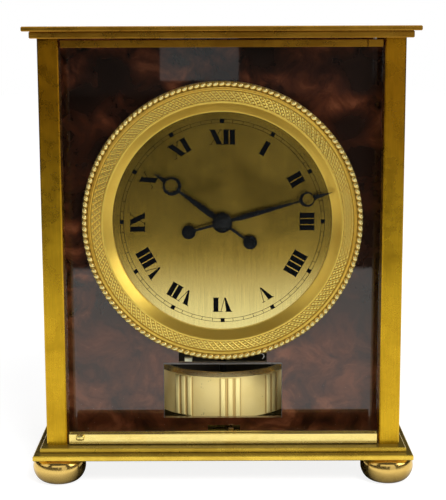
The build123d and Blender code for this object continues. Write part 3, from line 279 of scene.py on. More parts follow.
def lacquerFinish(v):
    material, tree, shader = startMaterial("cloudedLacquer")
    vector = places(tree, shift=v["shift"])
    warp = {"Vector": vector, "Scale": v["swirlScale"], "Detail": v["swirlDetail"],
            "Roughness": v["swirlRough"]}
    warp = addNode(tree, "TexNoise", warp).outputs["Color"]
    warped = {0: warp, 1: (v["swirl"],) * 3, 2: vector}
    warped = addNode(tree, "VectorMath", warped, operation="MULTIPLY_ADD").outputs[0]
    eyes = addNode(tree, "TexVoronoi", {"Vector": warped, "Scale": v["eyeScale"],
                                        "Smoothness": v["eyeSoft"]}, feature="SMOOTH_F1").outputs["Distance"]
    aroundEyes = mapRange(tree, eyes, v["eyeSize"], v["eyeSize"] + v["eyeEdge"], smooth=True)
    patches = mapRange(tree, noise(tree, warped, *v["patchNoise"]), *v["patchRange"], smooth=True)
    smoke = mapRange(tree, noise(tree, warped, *v["smokeNoise"]), *v["smokeRange"])
    depth = maths(tree, "MULTIPLY", maths(tree, "MULTIPLY", aroundEyes, patches), smoke)
    paler = mapRange(tree, axisPart(tree, places(tree), "Z"), *v["palerBelow"], 1.0, 0.0, smooth=True)
    paler = maths(tree, "MULTIPLY", paler, mapRange(tree, smoke, 0, 1, *v["palerRange"]))
    colour = ramp(tree, maths(tree, "MAXIMUM", depth, paler), v["stops"])
    speck = mapRange(tree, cells(tree, vector, v["dustScale"]), *v["dustSize"])
    rare = mapRange(tree, noise(tree, vector, *v["dustNoise"]), *v["dustPatch"])
    colour = mixColour(tree, maths(tree, "MULTIPLY", speck, rare), colour, v["dust"])
    feed(tree, shader, {"Base Color": colour, "Roughness": mapRange(tree, smoke, 0, 1, *v["rough"]),
                        "Specular IOR Level": v["shine"], "Specular Tint": v["shineTint"],
                        "Coat Weight": v["coat"], "Coat IOR": v["coatIor"],
                        "Coat Roughness": v["coatRough"]})
    return material


# clear panes: lamps and views pass straight through, and a slanting view is mirrored more and more
glass = {"tint": (0.972, 0.985, 0.978, 1), "slantPower": 3.5, "smudgeNoise": (38, 3, 0.6),
         "smudgeRange": (0.3, 0.8), "smudge": (0.94, 1.06)}


def glassFinish(v):
    material, tree, shader = startMaterial("clearGlass")
    tree.nodes.remove(shader)
    clear = addNode(tree, "BsdfTransparent", {"Color": v["tint"]})
    gloss = addNode(tree, "BsdfGlossy", {"Color": (1, 1, 1, 1), "Roughness": 0.0})
    facing = addNode(tree, "LayerWeight", {"Blend": 0.5}).outputs["Facing"]
    smudge = noise(tree, places(tree), *v["smudgeNoise"])
    smudge = mapRange(tree, smudge, *v["smudgeRange"], *v["smudge"])
    share = maths(tree, "MULTIPLY", maths(tree, "POWER", facing, v["slantPower"]), smudge)
    pane = addNode(tree, "MixShader", {0: share, 1: clear.outputs[0], 2: gloss.outputs[0]})
    feed(tree, tree.nodes["Material Output"], {"Surface": pane.outputs[0]})
    return material


paints = {
    "handBlack": {"colour": (0.002, 0.002, 0.0022), "rough": 0.24, "shine": 0.14, "coat": 0.0},
    "printBlack": {"colour": (0.0015, 0.0015, 0.0017), "rough": 0.5, "shine": 0.03, "coat": 0.0},
    "bossBlack": {"colour": (0.003, 0.003, 0.003), "rough": 0.2, "shine": 0.25, "coat": 0.0},
    "rubyJewel": {"colour": (0.35, 0.01, 0.03), "rough": 0.12, "shine": 0.5, "coat": 1.0},
    "paleBrass": {"colour": (0.60, 0.54, 0.38), "rough": 0.35, "shine": 0.5, "coat": 0.2},
    # painted highlight: the window's cut edge is paler than the lacquer
    "windowEdgeHighlight": {"colour": (0.060, 0.050, 0.047), "rough": 0.3, "shine": 0.4, "coat": 0.4},
}
paintWear = {"noise": (300, 3), "range": (0.3, 0.7), "paler": 1.8, "lift": 0.001, "roughShare": (0.85, 1.15),
             "coatRough": 0.1, "grain": (900, 2), "grainDepth": 0.04}


def paintFinish(name, v):
    material, tree, shader = startMaterial(name)
    vector = places(tree)
    uneven = noise(tree, vector, *paintWear["noise"])
    worn = tuple(min(1, c * paintWear["paler"] + paintWear["lift"]) for c in v["colour"])
    rough = [v["rough"] * share for share in paintWear["roughShare"]]
    grain = noise(tree, vector, *paintWear["grain"])
    feed(tree, shader, {"Base Color": mixColour(tree, uneven, v["colour"], worn),
                        "Roughness": mapRange(tree, uneven, *paintWear["range"], *rough),
                        "Specular IOR Level": v["shine"], "Coat Weight": v["coat"],
                        "Coat Roughness": paintWear["coatRough"],
                        "Normal": bump(tree, grain, paintWear["grainDepth"])})
    return material


# satin drum with cream ribs and painted shade beside them, a polished bevel above them, and an inside painted
# dark as shade
pendulumGilt = {
    "satin": (1.0, 0.76, 0.31), "satinDark": (0.95, 0.70, 0.26), "satinRough": 0.42, "satinMetal": 0.35,
    "rib": (1.0, 0.80, 0.34), "ribRough": 0.3, "ribMetal": 0.08, "ribRadius": 0.0379,
    "ribEdge": (-0.0001, 0.0002), "bevel": (0.98, 0.76, 0.38), "bevelRough": 0.2, "bevelMetal": 0.74,
    "bevelZ": ringHigh.z - 0.0023, "inside": (0.035, 0.028, 0.02), "insideRough": 0.6, "wallRadius": 0.0345,
    "edge": 0.0001, "shade": (0.58, 0.37, 0.12), "cloudNoise": (70, 4), "cloudRange": (0.4, 0.75),
    "speckScale": 620, "speckSize": (0.2, 0.08), "speckNoise": (120, 1), "speckPatch": (0.60, 0.66),
    "speck": (0.16, 0.11, 0.05), "frostNoise": (1100, 2), "frostDepth": 0.12,
}


def pendulumFinish(v):
    material, tree, shader = startMaterial("pendulumGilt")
    vector = places(tree)
    reach = ringDistance(tree, (0, pendulumY, 0), "Z")
    raised = mapRange(tree, reach, *(v["ribRadius"] + step for step in v["ribEdge"]))
    clouds = mapRange(tree, noise(tree, vector, *v["cloudNoise"]), *v["cloudRange"])
    satin = mixColour(tree, clouds, v["satin"], v["satinDark"])
    speck = mapRange(tree, cells(tree, vector, v["speckScale"]), *v["speckSize"])
    rare = mapRange(tree, noise(tree, vector, *v["speckNoise"]), *v["speckPatch"])
    satin = mixColour(tree, maths(tree, "MULTIPLY", speck, rare), satin, v["speck"])
    # painted shade: the satin beside each rib is darkened
    colour = withPaintedShade(tree, mixColour(tree, raised, satin, v["rib"]), v["shade"])
    bevel = mapRange(tree, axisPart(tree, vector, "Z"), v["bevelZ"], v["bevelZ"] + v["edge"])
    colour = mixColour(tree, bevel, colour, v["bevel"])
    wall, edge = v["wallRadius"], v["edge"]
    # painted shade: the inside of the drum is coloured dark
    inside = mapRange(tree, reach, wall + edge, wall - edge)
    colour = mixColour(tree, inside, colour, v["inside"])
    smoother = maths(tree, "MULTIPLY", bevel, v["satinRough"] - v["bevelRough"])
    rough = mapRange(tree, raised, 0, 1, v["satinRough"], v["ribRough"])
    rough = maths(tree, "SUBTRACT", rough, smoother)
    rough = maths(tree, "MAXIMUM", rough, maths(tree, "MULTIPLY", inside, v["insideRough"]))
    metal = maths(tree, "ADD", mapRange(tree, raised, 0, 1, v["satinMetal"], v["ribMetal"]),
                  maths(tree, "MULTIPLY", bevel, v["bevelMetal"] - v["satinMetal"]))
    frost = noise(tree, vector, *v["frostNoise"])
    frost = maths(tree, "MULTIPLY", frost, maths(tree, "SUBTRACT", 1.0, raised))
    feed(tree, shader, {"Base Color": colour, "Roughness": rough, "Metallic": metal,
                        "Normal": bump(tree, frost, v["frostDepth"])})
    return material


finish = {name: metalFinish(name, v) for name, v in metals.items()}
finish.update({name: paintFinish(name, v) for name, v in paints.items()})
finish.update({"lacquer": lacquerFinish(lacquer), "glass": glassFinish(glass),
               "pendulumGilt": pendulumFinish(pendulumGilt)})
print("finishes made,", len(finish))


# points and faces gathered for one piece, with the share of painted shade at each point where the finish asks
# for it
class Shape:
    def __init__(self, verts=(), faces=()):
        self.verts, self.faces, self.shadeShares = [], [], []
        self.add(verts, faces)

    def add(self, verts, faces):
        start = len(self.verts)
        self.verts += [Vector(v) for v in verts]
        self.faces += [tuple(start + i for i in face) for face in faces]


def newPiece(name, shape, finishName, body, sharpAngle, replaced=None):
    mesh = bpy.data.meshes.new(name)
    mesh.from_pydata([tuple(v) for v in shape.verts], [], shape.faces)
    if shape.shadeShares:
        mesh.attributes.new("paintedShadeShare", "FLOAT", "POINT").data.foreach_set("value", shape.shadeShares)
    mesh.validate()
    mesh.update()
    for polygon in mesh.polygons:
        polygon.use_smooth = True
    mesh.set_sharp_from_angle(angle=radians(sharpAngle))
    mesh.materials.append(finish[finishName])
    piece = bpy.data.objects.new(name, mesh)
    bpy.context.scene.collection.objects.link(piece)
    if replaced:
        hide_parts(replaced)
    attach(piece, body)


# faces between rows of points; closed joins the last row to the first, wrapped joins each row's ends
def gridFaces(rows, size, closed=False, wrapped=True, flipped=False):
    faces = []
    for k in range(rows if closed else rows - 1):
        a, b = k * size, (k + 1) % rows * size
        for i in range(size if wrapped else size - 1):
            j = (i + 1) % size
            faces.append((a + i, a + j, b + j, b + i) if flipped else (a + i, b + i, b + j, a + j))
    return faces


def endFaces(rows, size):
    return [tuple(range(size))[::-1], tuple(range((rows - 1) * size, rows * size))]


def turnedVerts(profile, steps, toPlace):  # a closed profile of (radius, height), turned in steps
    verts = [toPlace(r, h, 2 * pi * k / steps) for k in range(steps) for r, h in profile]
    return verts, gridFaces(steps, len(profile), closed=True)


def onDial(r, out, turn, y=panelFrontY):  # radius and clockwise turn about the hands, out towards the viewer
    return Vector((r * sin(turn), y - out, dialZ + r * cos(turn)))


def slab(outline, low, high, toPlace, edge=0.0):  # a flat shape, its front edge chamfered by edge
    n = len(outline)
    rows = [(low, 0.0), (high - edge, 0.0), (high, edge)] if edge else [(low, 0.0), (high, 0.0)]
    verts = []
    for height, inset in rows:
        for i, (u, v) in enumerate(outline):
            if inset:
                before, after = outline[i - 1], outline[(i + 1) % n]
                a = Vector((u - before[0], v - before[1])).normalized()
                b = Vector((after[0] - u, after[1] - v)).normalized()
                inward = Vector((-(a.y + b.y), a.x + b.x)).normalized()
                u, v = u + inward.x * inset, v + inward.y * inset
            verts.append(toPlace(u, v, height))
    return verts, gridFaces(len(rows), n, flipped=True) + endFaces(len(rows), n)


def smoothStep(t):
    t = min(1.0, max(0.0, t))
    return t * t * (3 - 2 * t)


# bezel; the profile is (radius, height above the panel), and a second list gives radii, heights and the share
# of painted shade and patina in the recesses
bezel = {
    "profile": [
        (57.95, 0.0), (71.7, 0.0), (71.85, 0.15), (71.85, 3.3), (71.7, 3.5), (69.3, 3.6), (69.02, 3.9),
        (68.9, 4.3), (68.7, 4.42), (68.45, 4.45), (68.3, 4.65), (68.22, 5.1), (68.08, 5.38), (67.83, 5.48),
        (67.6, 5.38), (67.45, 5.1), (67.38, 4.6), (67.25, 4.35), (67.05, 4.35), (66.98, 4.5), (66.98, 4.2),
        (62.0, 4.9), (62.0, 5.45), (61.9, 5.68), (61.65, 5.78), (61.3, 5.78), (61.05, 5.68), (60.85, 5.48),
        (56.85, 1.98), (56.7, 1.86), (56.5, 1.8), (56.42, 1.65), (56.42, 1.15), (57.95, 1.15)],
    "shadedHollows": [(69.05, 71.9, 3.2, 3.8, 1.0), (66.9, 67.3, 4.3, 4.55, 0.5)], "turns": 360,
}


def makeBezel(v):
    ring = Shape(*turnedVerts([(r * mm, h * mm) for r, h in v["profile"]], v["turns"], onDial))
    shadeShare = [max([share for r0, r1, h0, h1, share in v["shadedHollows"] if r0 < r < r1 and h0 < h < h1], default=0.0)
           for r, h in v["profile"]]
    ring.shadeShares = shadeShare * v["turns"]
    newPiece("bezelRing", ring, "bezelGilt", "case", 30, "bezel")


makeBezel(bezel)

# beads round the rim, each a small pearl that leans a little
beads = {"count": 140, "circle": 70.55, "size": (1.42, 1.56, 1.42), "height": 4.0, "lean": 0.3, "rings": 8,
         "sides": 14, "dip": 0.62, "shadeFrom": 0.62}


def makeBeads(v):
    pearls = Shape()
    a, b, c = (size * mm for size in v["size"])
    rings, sides = v["rings"], v["sides"]
    for k in range(v["count"]):
        turn = 2 * pi * k / v["count"]
        verts = []
        for i in range(rings + 1):
            tilt = pi * v["dip"] * i / rings
            for j in range(sides):
                side = 2 * pi * j / sides
                radial, along = a * sin(tilt) * cos(side), b * sin(tilt) * sin(side)
                r = v["circle"] * mm + radial
                along += v["lean"] * radial
                verts.append(onDial(r, v["height"] * mm + c * cos(tilt), turn + along / r))
            # painted shade, with patina, darkens the lower part of each pearl where it meets the rim
            pearls.shadeShares += [smoothStep((i / rings - v["shadeFrom"]) / (1 - v["shadeFrom"]))] * sides
        pearls.add(verts, gridFaces(rings + 1, sides))
    newPiece("bezelBeads", pearls, "beadGilt", "case", 80)


makeBeads(beads)

# engine-turned band: slanting ridges with short ribs between them
band = {"ridges": 122, "stepsPerRidge": 16, "rows": 30, "outer": 66.98, "inner": 62.0, "low": 4.4,
        "high": 5.1, "slant": 1.42, "ridgeWidth": 0.34, "ridgeHeight": 0.42, "ridgeSteep": 1.6, "ribCount": 4,
        "ribHeight": 0.26, "ribSteep": 2.2, "ribSlope": 0.5, "ribEnds": 4, "shadeTo": 0.94}


def makeBand(v):
    steps, rows, width = v["ridges"] * v["stepsPerRidge"], v["rows"], v["ridgeWidth"]
    verts, shadeShares = [], []
    for k in range(steps):
        for i in range(rows + 1):
            t = i / rows
            phase = (k / v["stepsPerRidge"] - v["slant"] * t) % 1.0
            if phase < width:
                height = v["ridgeHeight"] * smoothStep(v["ridgeSteep"] * (1 - abs(2 * phase / width - 1)))
            else:
                p = (phase - width) / (1 - width)
                rib = (v["ribCount"] * t + v["ribSlope"] * p) % 1.0
                height = v["ribHeight"] * smoothStep(v["ribEnds"] * min(p, 1 - p))
                height *= smoothStep(v["ribSteep"] * (1 - abs(2 * rib - 1)))
            r = v["outer"] + (v["inner"] - v["outer"]) * t
            base = v["low"] + (v["high"] - v["low"]) * t
            verts.append(onDial(r * mm, (base + height) * mm, 2 * pi * k / steps))
            # painted shade, with patina, fills the low parts between the ridges
            shadeShares.append(1 - smoothStep(height / (v["shadeTo"] * v["ridgeHeight"])))
    pattern = Shape(verts, gridFaces(steps, rows + 1, closed=True, wrapped=False, flipped=True))
    pattern.shadeShares = shadeShares
    newPiece("bezelBand", pattern, "bandGilt", "case", 75)


makeBand(band)
print("bezel made")

# dial print; a leg has its left and right at foot and head, a serif its left, right and end, 0 or 1
dialPrint = {
    "trackInner": 50.8, "trackOuter": 52.5, "lineWidth": 0.2, "tickWidth": 0.24, "blockWidth": 2.1,
    "blockInner": 50.55, "blockOuter": 52.75, "numeralFoot": 39.7, "numeralHeight": 7.6, "gap": 0.6,
    "serif": 0.3, "top": 0.035, "tickLift": 0.004, "strokeLift": 0.002, "circleSteps": 240,
    "hours": ["XII", "I", "II", "III", "IIII", "V", "VI", "VII", "VIII", "IX", "X", "XI"],
    "I": {"width": 2.6, "legs": [(0, 2.6, 0, 2.6)], "serifs": [(-0.3, 2.9, 0), (-0.3, 2.9, 1)]},
    "V": {"width": 6.3, "legs": [(3.115, 3.815, 0.1, 2.85), (3.465, 3.765, 5.55, 5.85)],
          "serifs": [(-0.3, 3.35, 1), (4.8, 6.5, 1)]},
    "X": {"width": 6.7, "legs": [(3.8, 6.55, 0.15, 2.9), (0.7, 1.0, 5.7, 6.0)],
          "serifs": [(-0.2, 3.35, 1), (5.0, 6.7, 1), (0.0, 1.7, 0), (3.35, 6.9, 0)]},
}


def strokesOf(letter, v):
    h, thick = v["numeralHeight"], v["serif"]
    legs = [[(headLeft, h), (footLeft, 0), (footRight, 0), (headRight, h)]
            for footLeft, footRight, headLeft, headRight in v[letter]["legs"]]
    ends = [(left, right, end * (h - thick)) for left, right, end in v[letter]["serifs"]]
    return legs + [[(left, low), (right, low), (right, low + thick), (left, low + thick)]
                   for left, right, low in ends]


def makeDialPrint(v):
    shape = Shape()

    def addOutline(points, turn, lift):  # points are (sideways, distance from the hands), anticlockwise
        right, out = Vector((cos(turn), 0, -sin(turn))), Vector((sin(turn), 0, cos(turn)))

        def place(u, w, height):
            return Vector((0, dialFrontY - height, dialZ)) + right * u * mm + out * w * mm
        shape.add(*slab(points, 0.0, (v["top"] + lift) * mm, place))

    for radius in (v["trackInner"], v["trackOuter"]):
        half, top = v["lineWidth"] / 2, v["top"] * mm
        inner, outer = (radius - half) * mm, (radius + half) * mm
        profile = [(inner, 0.0), (outer, 0.0), (outer, top), (inner, top)]
        shape.add(*turnedVerts(profile, v["circleSteps"], lambda r, h, t: onDial(r, h, t, dialFrontY)))
    for minute in range(60):
        if minute % 5:
            half, a, b = v["tickWidth"] / 2, v["trackInner"], v["trackOuter"]
        else:
            half, a, b = v["blockWidth"] / 2, v["blockInner"], v["blockOuter"]
        addOutline([(-half, a), (half, a), (half, b), (-half, b)], 2 * pi * minute / 60, v["tickLift"])
    for hour, name in enumerate(v["hours"]):
        x = -(sum(v[letter]["width"] for letter in name) + v["gap"] * (len(name) - 1)) / 2
        for k, letter in enumerate(name):
            for j, points in enumerate(strokesOf(letter, v)):
                moved = [(x + px, v["numeralFoot"] + py) for px, py in points]
                addOutline(moved, 2 * pi * hour / 12, v["strokeLift"] * (j + 3 * (k % 2)))
            x += v[letter]["width"] + v["gap"]
    newPiece("dialNumerals", shape, "printBlack", "case", 30)


makeDialPrint(dialPrint)
print("dial print made")

# hands; the wedge beyond the ring is in shares of the ring's radius and the wedge's width, the point in mm,
# and a row of the dome has a share of the radius, what is added to it, and a height
handForm = {
    "ball": 3.6, "stem": 1.4, "hub": 5.1, "thickness": 0.5, "shoulder": 0.55, "rootShare": 0.6,
    "rootWide": 1.3, "bladeReach": 0.85, "bellyPlace": 0.27, "swellPower": 0.8, "bladeSteps": 12,
    "wedgeStart": (0.92, 0.62), "wedgeEnd": (1.15, 0.5), "point": [(-0.6, 0.16), (0.0, 0.05)],
    "stemReach": 0.8, "stemEnd": 0.45, "ringSides": 8, "ringAround": 40, "ringSquare": 1.08,
    "domeTurns": 48, "domeMiddle": 0.01,
    "dome": [(1, -0.1, 0.0), (1, 0.0, 0.1), (1, 0.0, 0.3), (1, -0.15, 0.42), (0.6, 0.0, 0.5)],
}
minuteHand = {**handForm, "angle": 74.5, "tip": 58.1, "ringPlace": 44.8, "ringRadius": 3.9, "ringHole": 2.8,
              "ringShift": 0.6, "blade": 2.7, "bladeEnd": 0.9, "tail": 17.9, "wedge": 2.5}
hourHand = {**handForm, "angle": 306.2, "tip": 43.25, "ringPlace": 31.7, "ringRadius": 4.8, "ringHole": 3.3,
            "ringShift": 0.5, "blade": 3.3, "bladeEnd": 1.3, "tail": 17.6, "wedge": 2.2}


def makeHand(name, node, body, v):
    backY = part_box(node)[1].y
    turn = radians(v["angle"])
    along, across = Vector((sin(turn), 0, cos(turn))), Vector((cos(turn), 0, -sin(turn)))
    thick = v["thickness"] * mm
    shape = Shape()

    def place(u, w, height):
        return Vector((0, backY - height, dialZ)) + along * u * mm + across * w * mm

    def ridged(stations):  # a bar with a low ridge: a left edge, a crest and a right edge at each station
        shoulder = thick * v["shoulder"]
        verts = [place(u, w, h) for u, half in stations
                 for w, h in ((-half, 0), (half, 0), (half, shoulder), (0, thick), (-half, shoulder))]
        faces = gridFaces(len(stations), 5) + endFaces(len(stations), 5)
        shape.add(verts, faces)

    root, end, belly = v["hub"] * v["rootShare"], v["bladeEnd"] / 2, v["blade"] / 2
    ringPlace, radius = v["ringPlace"], v["ringRadius"]
    reach, bellyPlace = ringPlace - radius * v["bladeReach"], v["bellyPlace"] * ringPlace
    stations = [(root, end * v["rootWide"])]
    for k in range(1, v["bladeSteps"] + 1):
        u = root + (reach - root) * k / v["bladeSteps"]
        if u < bellyPlace:
            swell = smoothStep(u / bellyPlace)
        else:
            swell = smoothStep((reach - u) / (reach - bellyPlace)) ** v["swellPower"]
        stations.append((u, end + (belly - end) * swell))
    ridged(stations)
    ridged([(ringPlace + radius * far, v["wedge"] * wide) for far, wide in (v["wedgeStart"], v["wedgeEnd"])]
           + [(v["tip"] + far, half) for far, half in v["point"]])
    ridged([(-root, v["stem"] / 2), (-v["tail"] + v["ball"] * v["stemReach"], v["stem"] * v["stemEnd"])])

    # eccentric ring, its section a soft square
    verts = []
    for k in range(v["ringAround"]):
        a = 2 * pi * k / v["ringAround"]
        outer = Vector((radius * cos(a), radius * sin(a)))
        inner = Vector((v["ringShift"] + v["ringHole"] * cos(a), v["ringHole"] * sin(a)))
        for j in range(v["ringSides"]):
            s = 2 * pi * (j + 0.5) / v["ringSides"]
            side, up = (max(-1, min(1, v["ringSquare"] * part)) for part in (cos(s), sin(s)))
            flat = (outer + inner) / 2 + (outer - inner) / 2 * side
            verts.append(place(ringPlace + flat.x, flat.y, thick * (0.5 + 0.5 * up)))
    shape.add(verts, gridFaces(v["ringAround"], v["ringSides"], closed=True))

    # tail ball and hub, both slightly domed
    for centre, size in ((-v["tail"], v["ball"]), (0.0, v["hub"])):
        dome = [(size * share + more, h) for share, more, h in v["dome"]]
        dome = [(v["domeMiddle"], 0), *dome, (v["domeMiddle"], v["thickness"])]
        shape.add(*turnedVerts([(r, h * mm) for r, h in dome], v["domeTurns"],
                               lambda r, h, t: place(centre + r * cos(t), r * sin(t), h)))
    newPiece(name, shape, "handBlack", body, 28, node)


makeHand("minuteHandShaped", "minute_hand", "minute_train", minuteHand)
makeHand("hourHandShaped", "hour_hand", "hour_train", hourHand)

# stepped boss over the hand nut
handBoss = {"turns": 64,
            "steps": [(0.01, 0.0), (4.2, 0.0), (4.25, 0.15), (4.25, 0.45), (4.05, 0.6), (3.35, 0.62),
                      (3.2, 0.75), (3.15, 1.15), (2.95, 1.3), (2.3, 1.32), (2.15, 1.45), (2.05, 1.7),
                      (1.5, 1.86), (0.7, 1.9), (0.01, 1.9)]}
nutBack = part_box("hand_nut")[1].y
boss = turnedVerts([(r * mm, h * mm) for r, h in handBoss["steps"]], handBoss["turns"],
                   lambda r, h, t: onDial(r, h, t, nutBack))
newPiece("handBoss", Shape(*boss), "bossBlack", "minute_train", 25, "hand_nut")
print("hands made")

# feet; the curve is in shares of the radius and the height, and slack keeps them inside the CAD feet
foot = {"flat": 0.004, "sections": 12, "turns": 112, "slack": 0.02 * mm,
        "curve": [(0.44, 0.0), (0.58, 0.02), (0.74, 0.095), (0.87, 0.22), (0.96, 0.39), (0.998, 0.57),
                  (0.985, 0.72), (0.94, 0.86), (0.85, 0.95), (0.74, 1.0)]}


def curveThrough(points, sections):  # more points between the given ones, on a smooth curve
    ends = [Vector(p) for p in [points[0], *points, points[-1]]]
    made = []
    for p0, p1, p2, p3 in zip(ends, ends[1:], ends[2:], ends[3:]):
        for s in range(sections):
            t = s / sections
            made.append(0.5 * (2 * p1 + (p2 - p0) * t + (2 * p0 - 5 * p1 + 4 * p2 - p3) * t * t
                               + (3 * p1 - p0 - 3 * p2 + p3) * t ** 3))
    return made + [ends[-1]]


def makeFoot(name, centres, radius, body, replaced, v):
    shape = Shape()
    flat, height = v["flat"] * radius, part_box("base_bottom_plate")[0].z
    curve = curveThrough(v["curve"], v["sections"])[::-1]
    profile = [(flat, height)] + [(p.x * radius, p.y * height) for p in curve]
    for x, y in centres:
        shape.add(*turnedVerts(profile + [(flat, 0.0)], v["turns"],
                               lambda r, h, t: Vector((x + r * cos(t), y + r * sin(t), h))))
    newPiece(name, shape, "footBrass", body, 40, replaced)


for side in ("left", "right"):
    node = "front_" + side + "_foot"
    low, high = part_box(node)
    centre = (low + high) / 2
    footRadius = min(high.x - low.x, high.y - low.y) / 2 - foot["slack"]
    makeFoot("front" + side.capitalize() + "Bun", [(centre.x, centre.y)], footRadius, node, node, foot)
low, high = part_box("rear_feet")
rearX = (low.x + footRadius + foot["slack"], high.x - footRadius - foot["slack"])
makeFoot("rearBuns", [(x, (low.y + high.y) / 2) for x in rearX], footRadius, "case", "rear_feet", foot)

# knob; the rings are (share of its depth, share of its width)
knob = {"corner": 3.2, "around": 40,
        "rings": [(0.0, 0.70), (0.12, 0.84), (0.3, 0.98), (0.45, 1.0), (0.62, 0.95), (0.78, 0.83),
                  (0.9, 0.64), (0.97, 0.4), (1.0, 0.01)]}


def makeKnob(v):
    low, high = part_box("door_knob")
    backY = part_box("door_bottom_rail")[0].y
    centre, half = (low + high) / 2, (high - low) / 2
    verts = []
    for depth, share in v["rings"]:
        for k in range(v["around"]):
            a = 2 * pi * k / v["around"]
            reach = (abs(cos(a)) ** v["corner"] + abs(sin(a)) ** v["corner"]) ** (-1 / v["corner"]) * share
            verts.append(Vector((centre.x + half.x * reach * cos(a), backY + (low.y - backY) * depth,
                                 centre.z + half.z * reach * sin(a))))
    rows, around = len(v["rings"]), v["around"]
    shape = Shape(verts, gridFaces(rows, around, flipped=True) + endFaces(rows, around))
    newPiece("doorKnobRounded", shape, "brightRail", "door", 60, "door_knob")


makeKnob(knob)
print("feet and knob made")

# pendulum ring; each row up its wall gives a height, the share of the rib there and how far it is drawn in
drum = {
    "ribDepth": 0.9, "ribHalf": 1.42, "groups": 9, "firstGroup": 6.0, "ribStep": 6.0, "wall": 3.6,
    "bevel": 2.3, "steps": 1440, "shadeReach": (0.25, 0.2, 0.75, 0.5),
    "fromFoot": [(0.0, 0.0, 0.25), (0.2, 0.0, 0.0), (0.35, 0.0, 0.0), (0.6, 0.75, 0.0), (1.05, 1.0, 0.0)],
    "fromTop": [(-1.0, 1.0, 0.0), (-0.55, 0.75, 0.0), (-0.3, 0.0, 0.0), (-0.12, 0.0, 0.0), (0.0, 0.0, 0.12),
                (0.08, 0.0, 0.2), (2.15, 0.0, 1.85), (2.3, 0.0, 2.05)],
}


def makePendulumRing(v):
    crest = (ringHigh.y - ringLow.y) / 2 / mm
    body, bore = crest - v["ribDepth"], crest - v["ribDepth"] - v["wall"]
    low, top = ringLow.z / mm, ringHigh.z / mm
    middles = [v["firstGroup"] + 360 / v["groups"] * k for k in range(v["groups"])]
    ribs = [middle + v["ribStep"] * j for middle in middles for j in (-1, 0, 1)]
    rows = [(low + up, share, drawn) for up, share, drawn in v["fromFoot"]]
    rows += [(top - v["bevel"] + up, share, drawn) for up, share, drawn in v["fromTop"]]
    outStart, outSoft, farEnd, farSoft = v["shadeReach"]
    verts, shadeShares = [], []
    for k in range(v["steps"]):
        a = 360 * k / v["steps"]
        off = radians(min(abs((a - rib + 180) % 360 - 180) for rib in ribs)) * crest
        rib = v["ribDepth"] * (1 - min(1.0, off / v["ribHalf"]) ** 4) ** 0.5
        beside = off - v["ribHalf"]  # a soft painted shade lies beside each rib
        shade = smoothStep((beside + outStart) / outSoft) * smoothStep((farEnd - beside) / farSoft)
        points = [(body + rib * share - drawn, z) for z, share, drawn in rows] + [(bore, top), (bore, low)]
        turn = radians(a)
        verts += [Vector((r * sin(turn), pendulumY / mm - r * cos(turn), z)) * mm for r, z in points]
        shadeShares += [shade * share for z, share, drawn in rows] + [0.0, 0.0]
    shape = Shape(verts, gridFaces(v["steps"], len(rows) + 2, closed=True))
    shape.shadeShares = shadeShares
    newPiece("pendulumDrum", shape, "pendulumGilt", "pendulum", 40, "pendulum_ring")


makePendulumRing(drum)
print("pendulum made")

# edges of the window: a bar above it and thin ones down its sides, painted paler than the lacquer as a
# highlight on the panel's cut edge
windowEdgeHighlight = {"left": -30.8, "right": 30.8, "low": 26.4, "top": 55.3, "topBar": 0.95, "sideBar": 0.3,
              "lift": 0.14, "sunk": 0.3, "chamfer": 0.1}


def addBar(shape, low, high, edge):  # between two corners in mm, its front edges chamfered
    (x0, y0, z0), (x1, y1, z1) = low, high
    shape.add(*slab([(x0, z0), (x1, z0), (x1, z1), (x0, z1)], 0.0, y1 - y0,
                    lambda u, w, height: Vector((u, y1 - height, w)) * mm, edge))


def makeWindowEdge(v):
    shape = Shape()
    front, back = panelFrontY / mm - v["lift"], panelFrontY / mm + v["sunk"]
    left, right, low, top, side = v["left"], v["right"], v["low"], v["top"], v["sideBar"]
    for x0, x1, z0, z1 in ((left - side, right + side, top, top + v["topBar"]), (left - side, left, low, top),
                           (right, right + side, low, top)):
        addBar(shape, (x0, front, z0), (x1, back, z1), v["chamfer"])
    newPiece("windowEdgeHighlight", shape, "windowEdgeHighlight", "case", 30)


makeWindowEdge(windowEdgeHighlight)

# what shows in the slot: a pale block, and a wire hook with its open end down
slotThings = {"block": ((-20.0, -35.9, 56.5), (-16.0, -33.6, 58.7)), "blockEdge": 0.4,
              "hookCentre": (20.2, -32.6, 58.6), "hookRadius": 1.5, "wire": 0.32, "hookFrom": -70,
              "hookSweep": 200, "sides": 8, "steps": 14}


def makeSlotThings(v):
    block = Shape()
    addBar(block, *v["block"], v["blockEdge"])
    newPiece("slotBlock", block, "paleBrass", "case", 30)
    verts, rows, sides = [], v["steps"] + 1, v["sides"]
    for k in range(rows):
        a = radians(v["hookFrom"] + v["hookSweep"] * k / v["steps"])
        out = Vector((cos(a), 0, sin(a)))
        for j in range(sides):
            s = 2 * pi * j / sides
            bend = out * (v["hookRadius"] + v["wire"] * cos(s)) + Vector((0, v["wire"] * sin(s), 0))
            verts.append((Vector(v["hookCentre"]) + bend) * mm)
    hook = Shape(verts, gridFaces(rows, sides) + endFaces(rows, sides))
    newPiece("slotHook", hook, "brightSteel", "case", 60)


makeSlotThings(slotThings)
print("window and slot made")

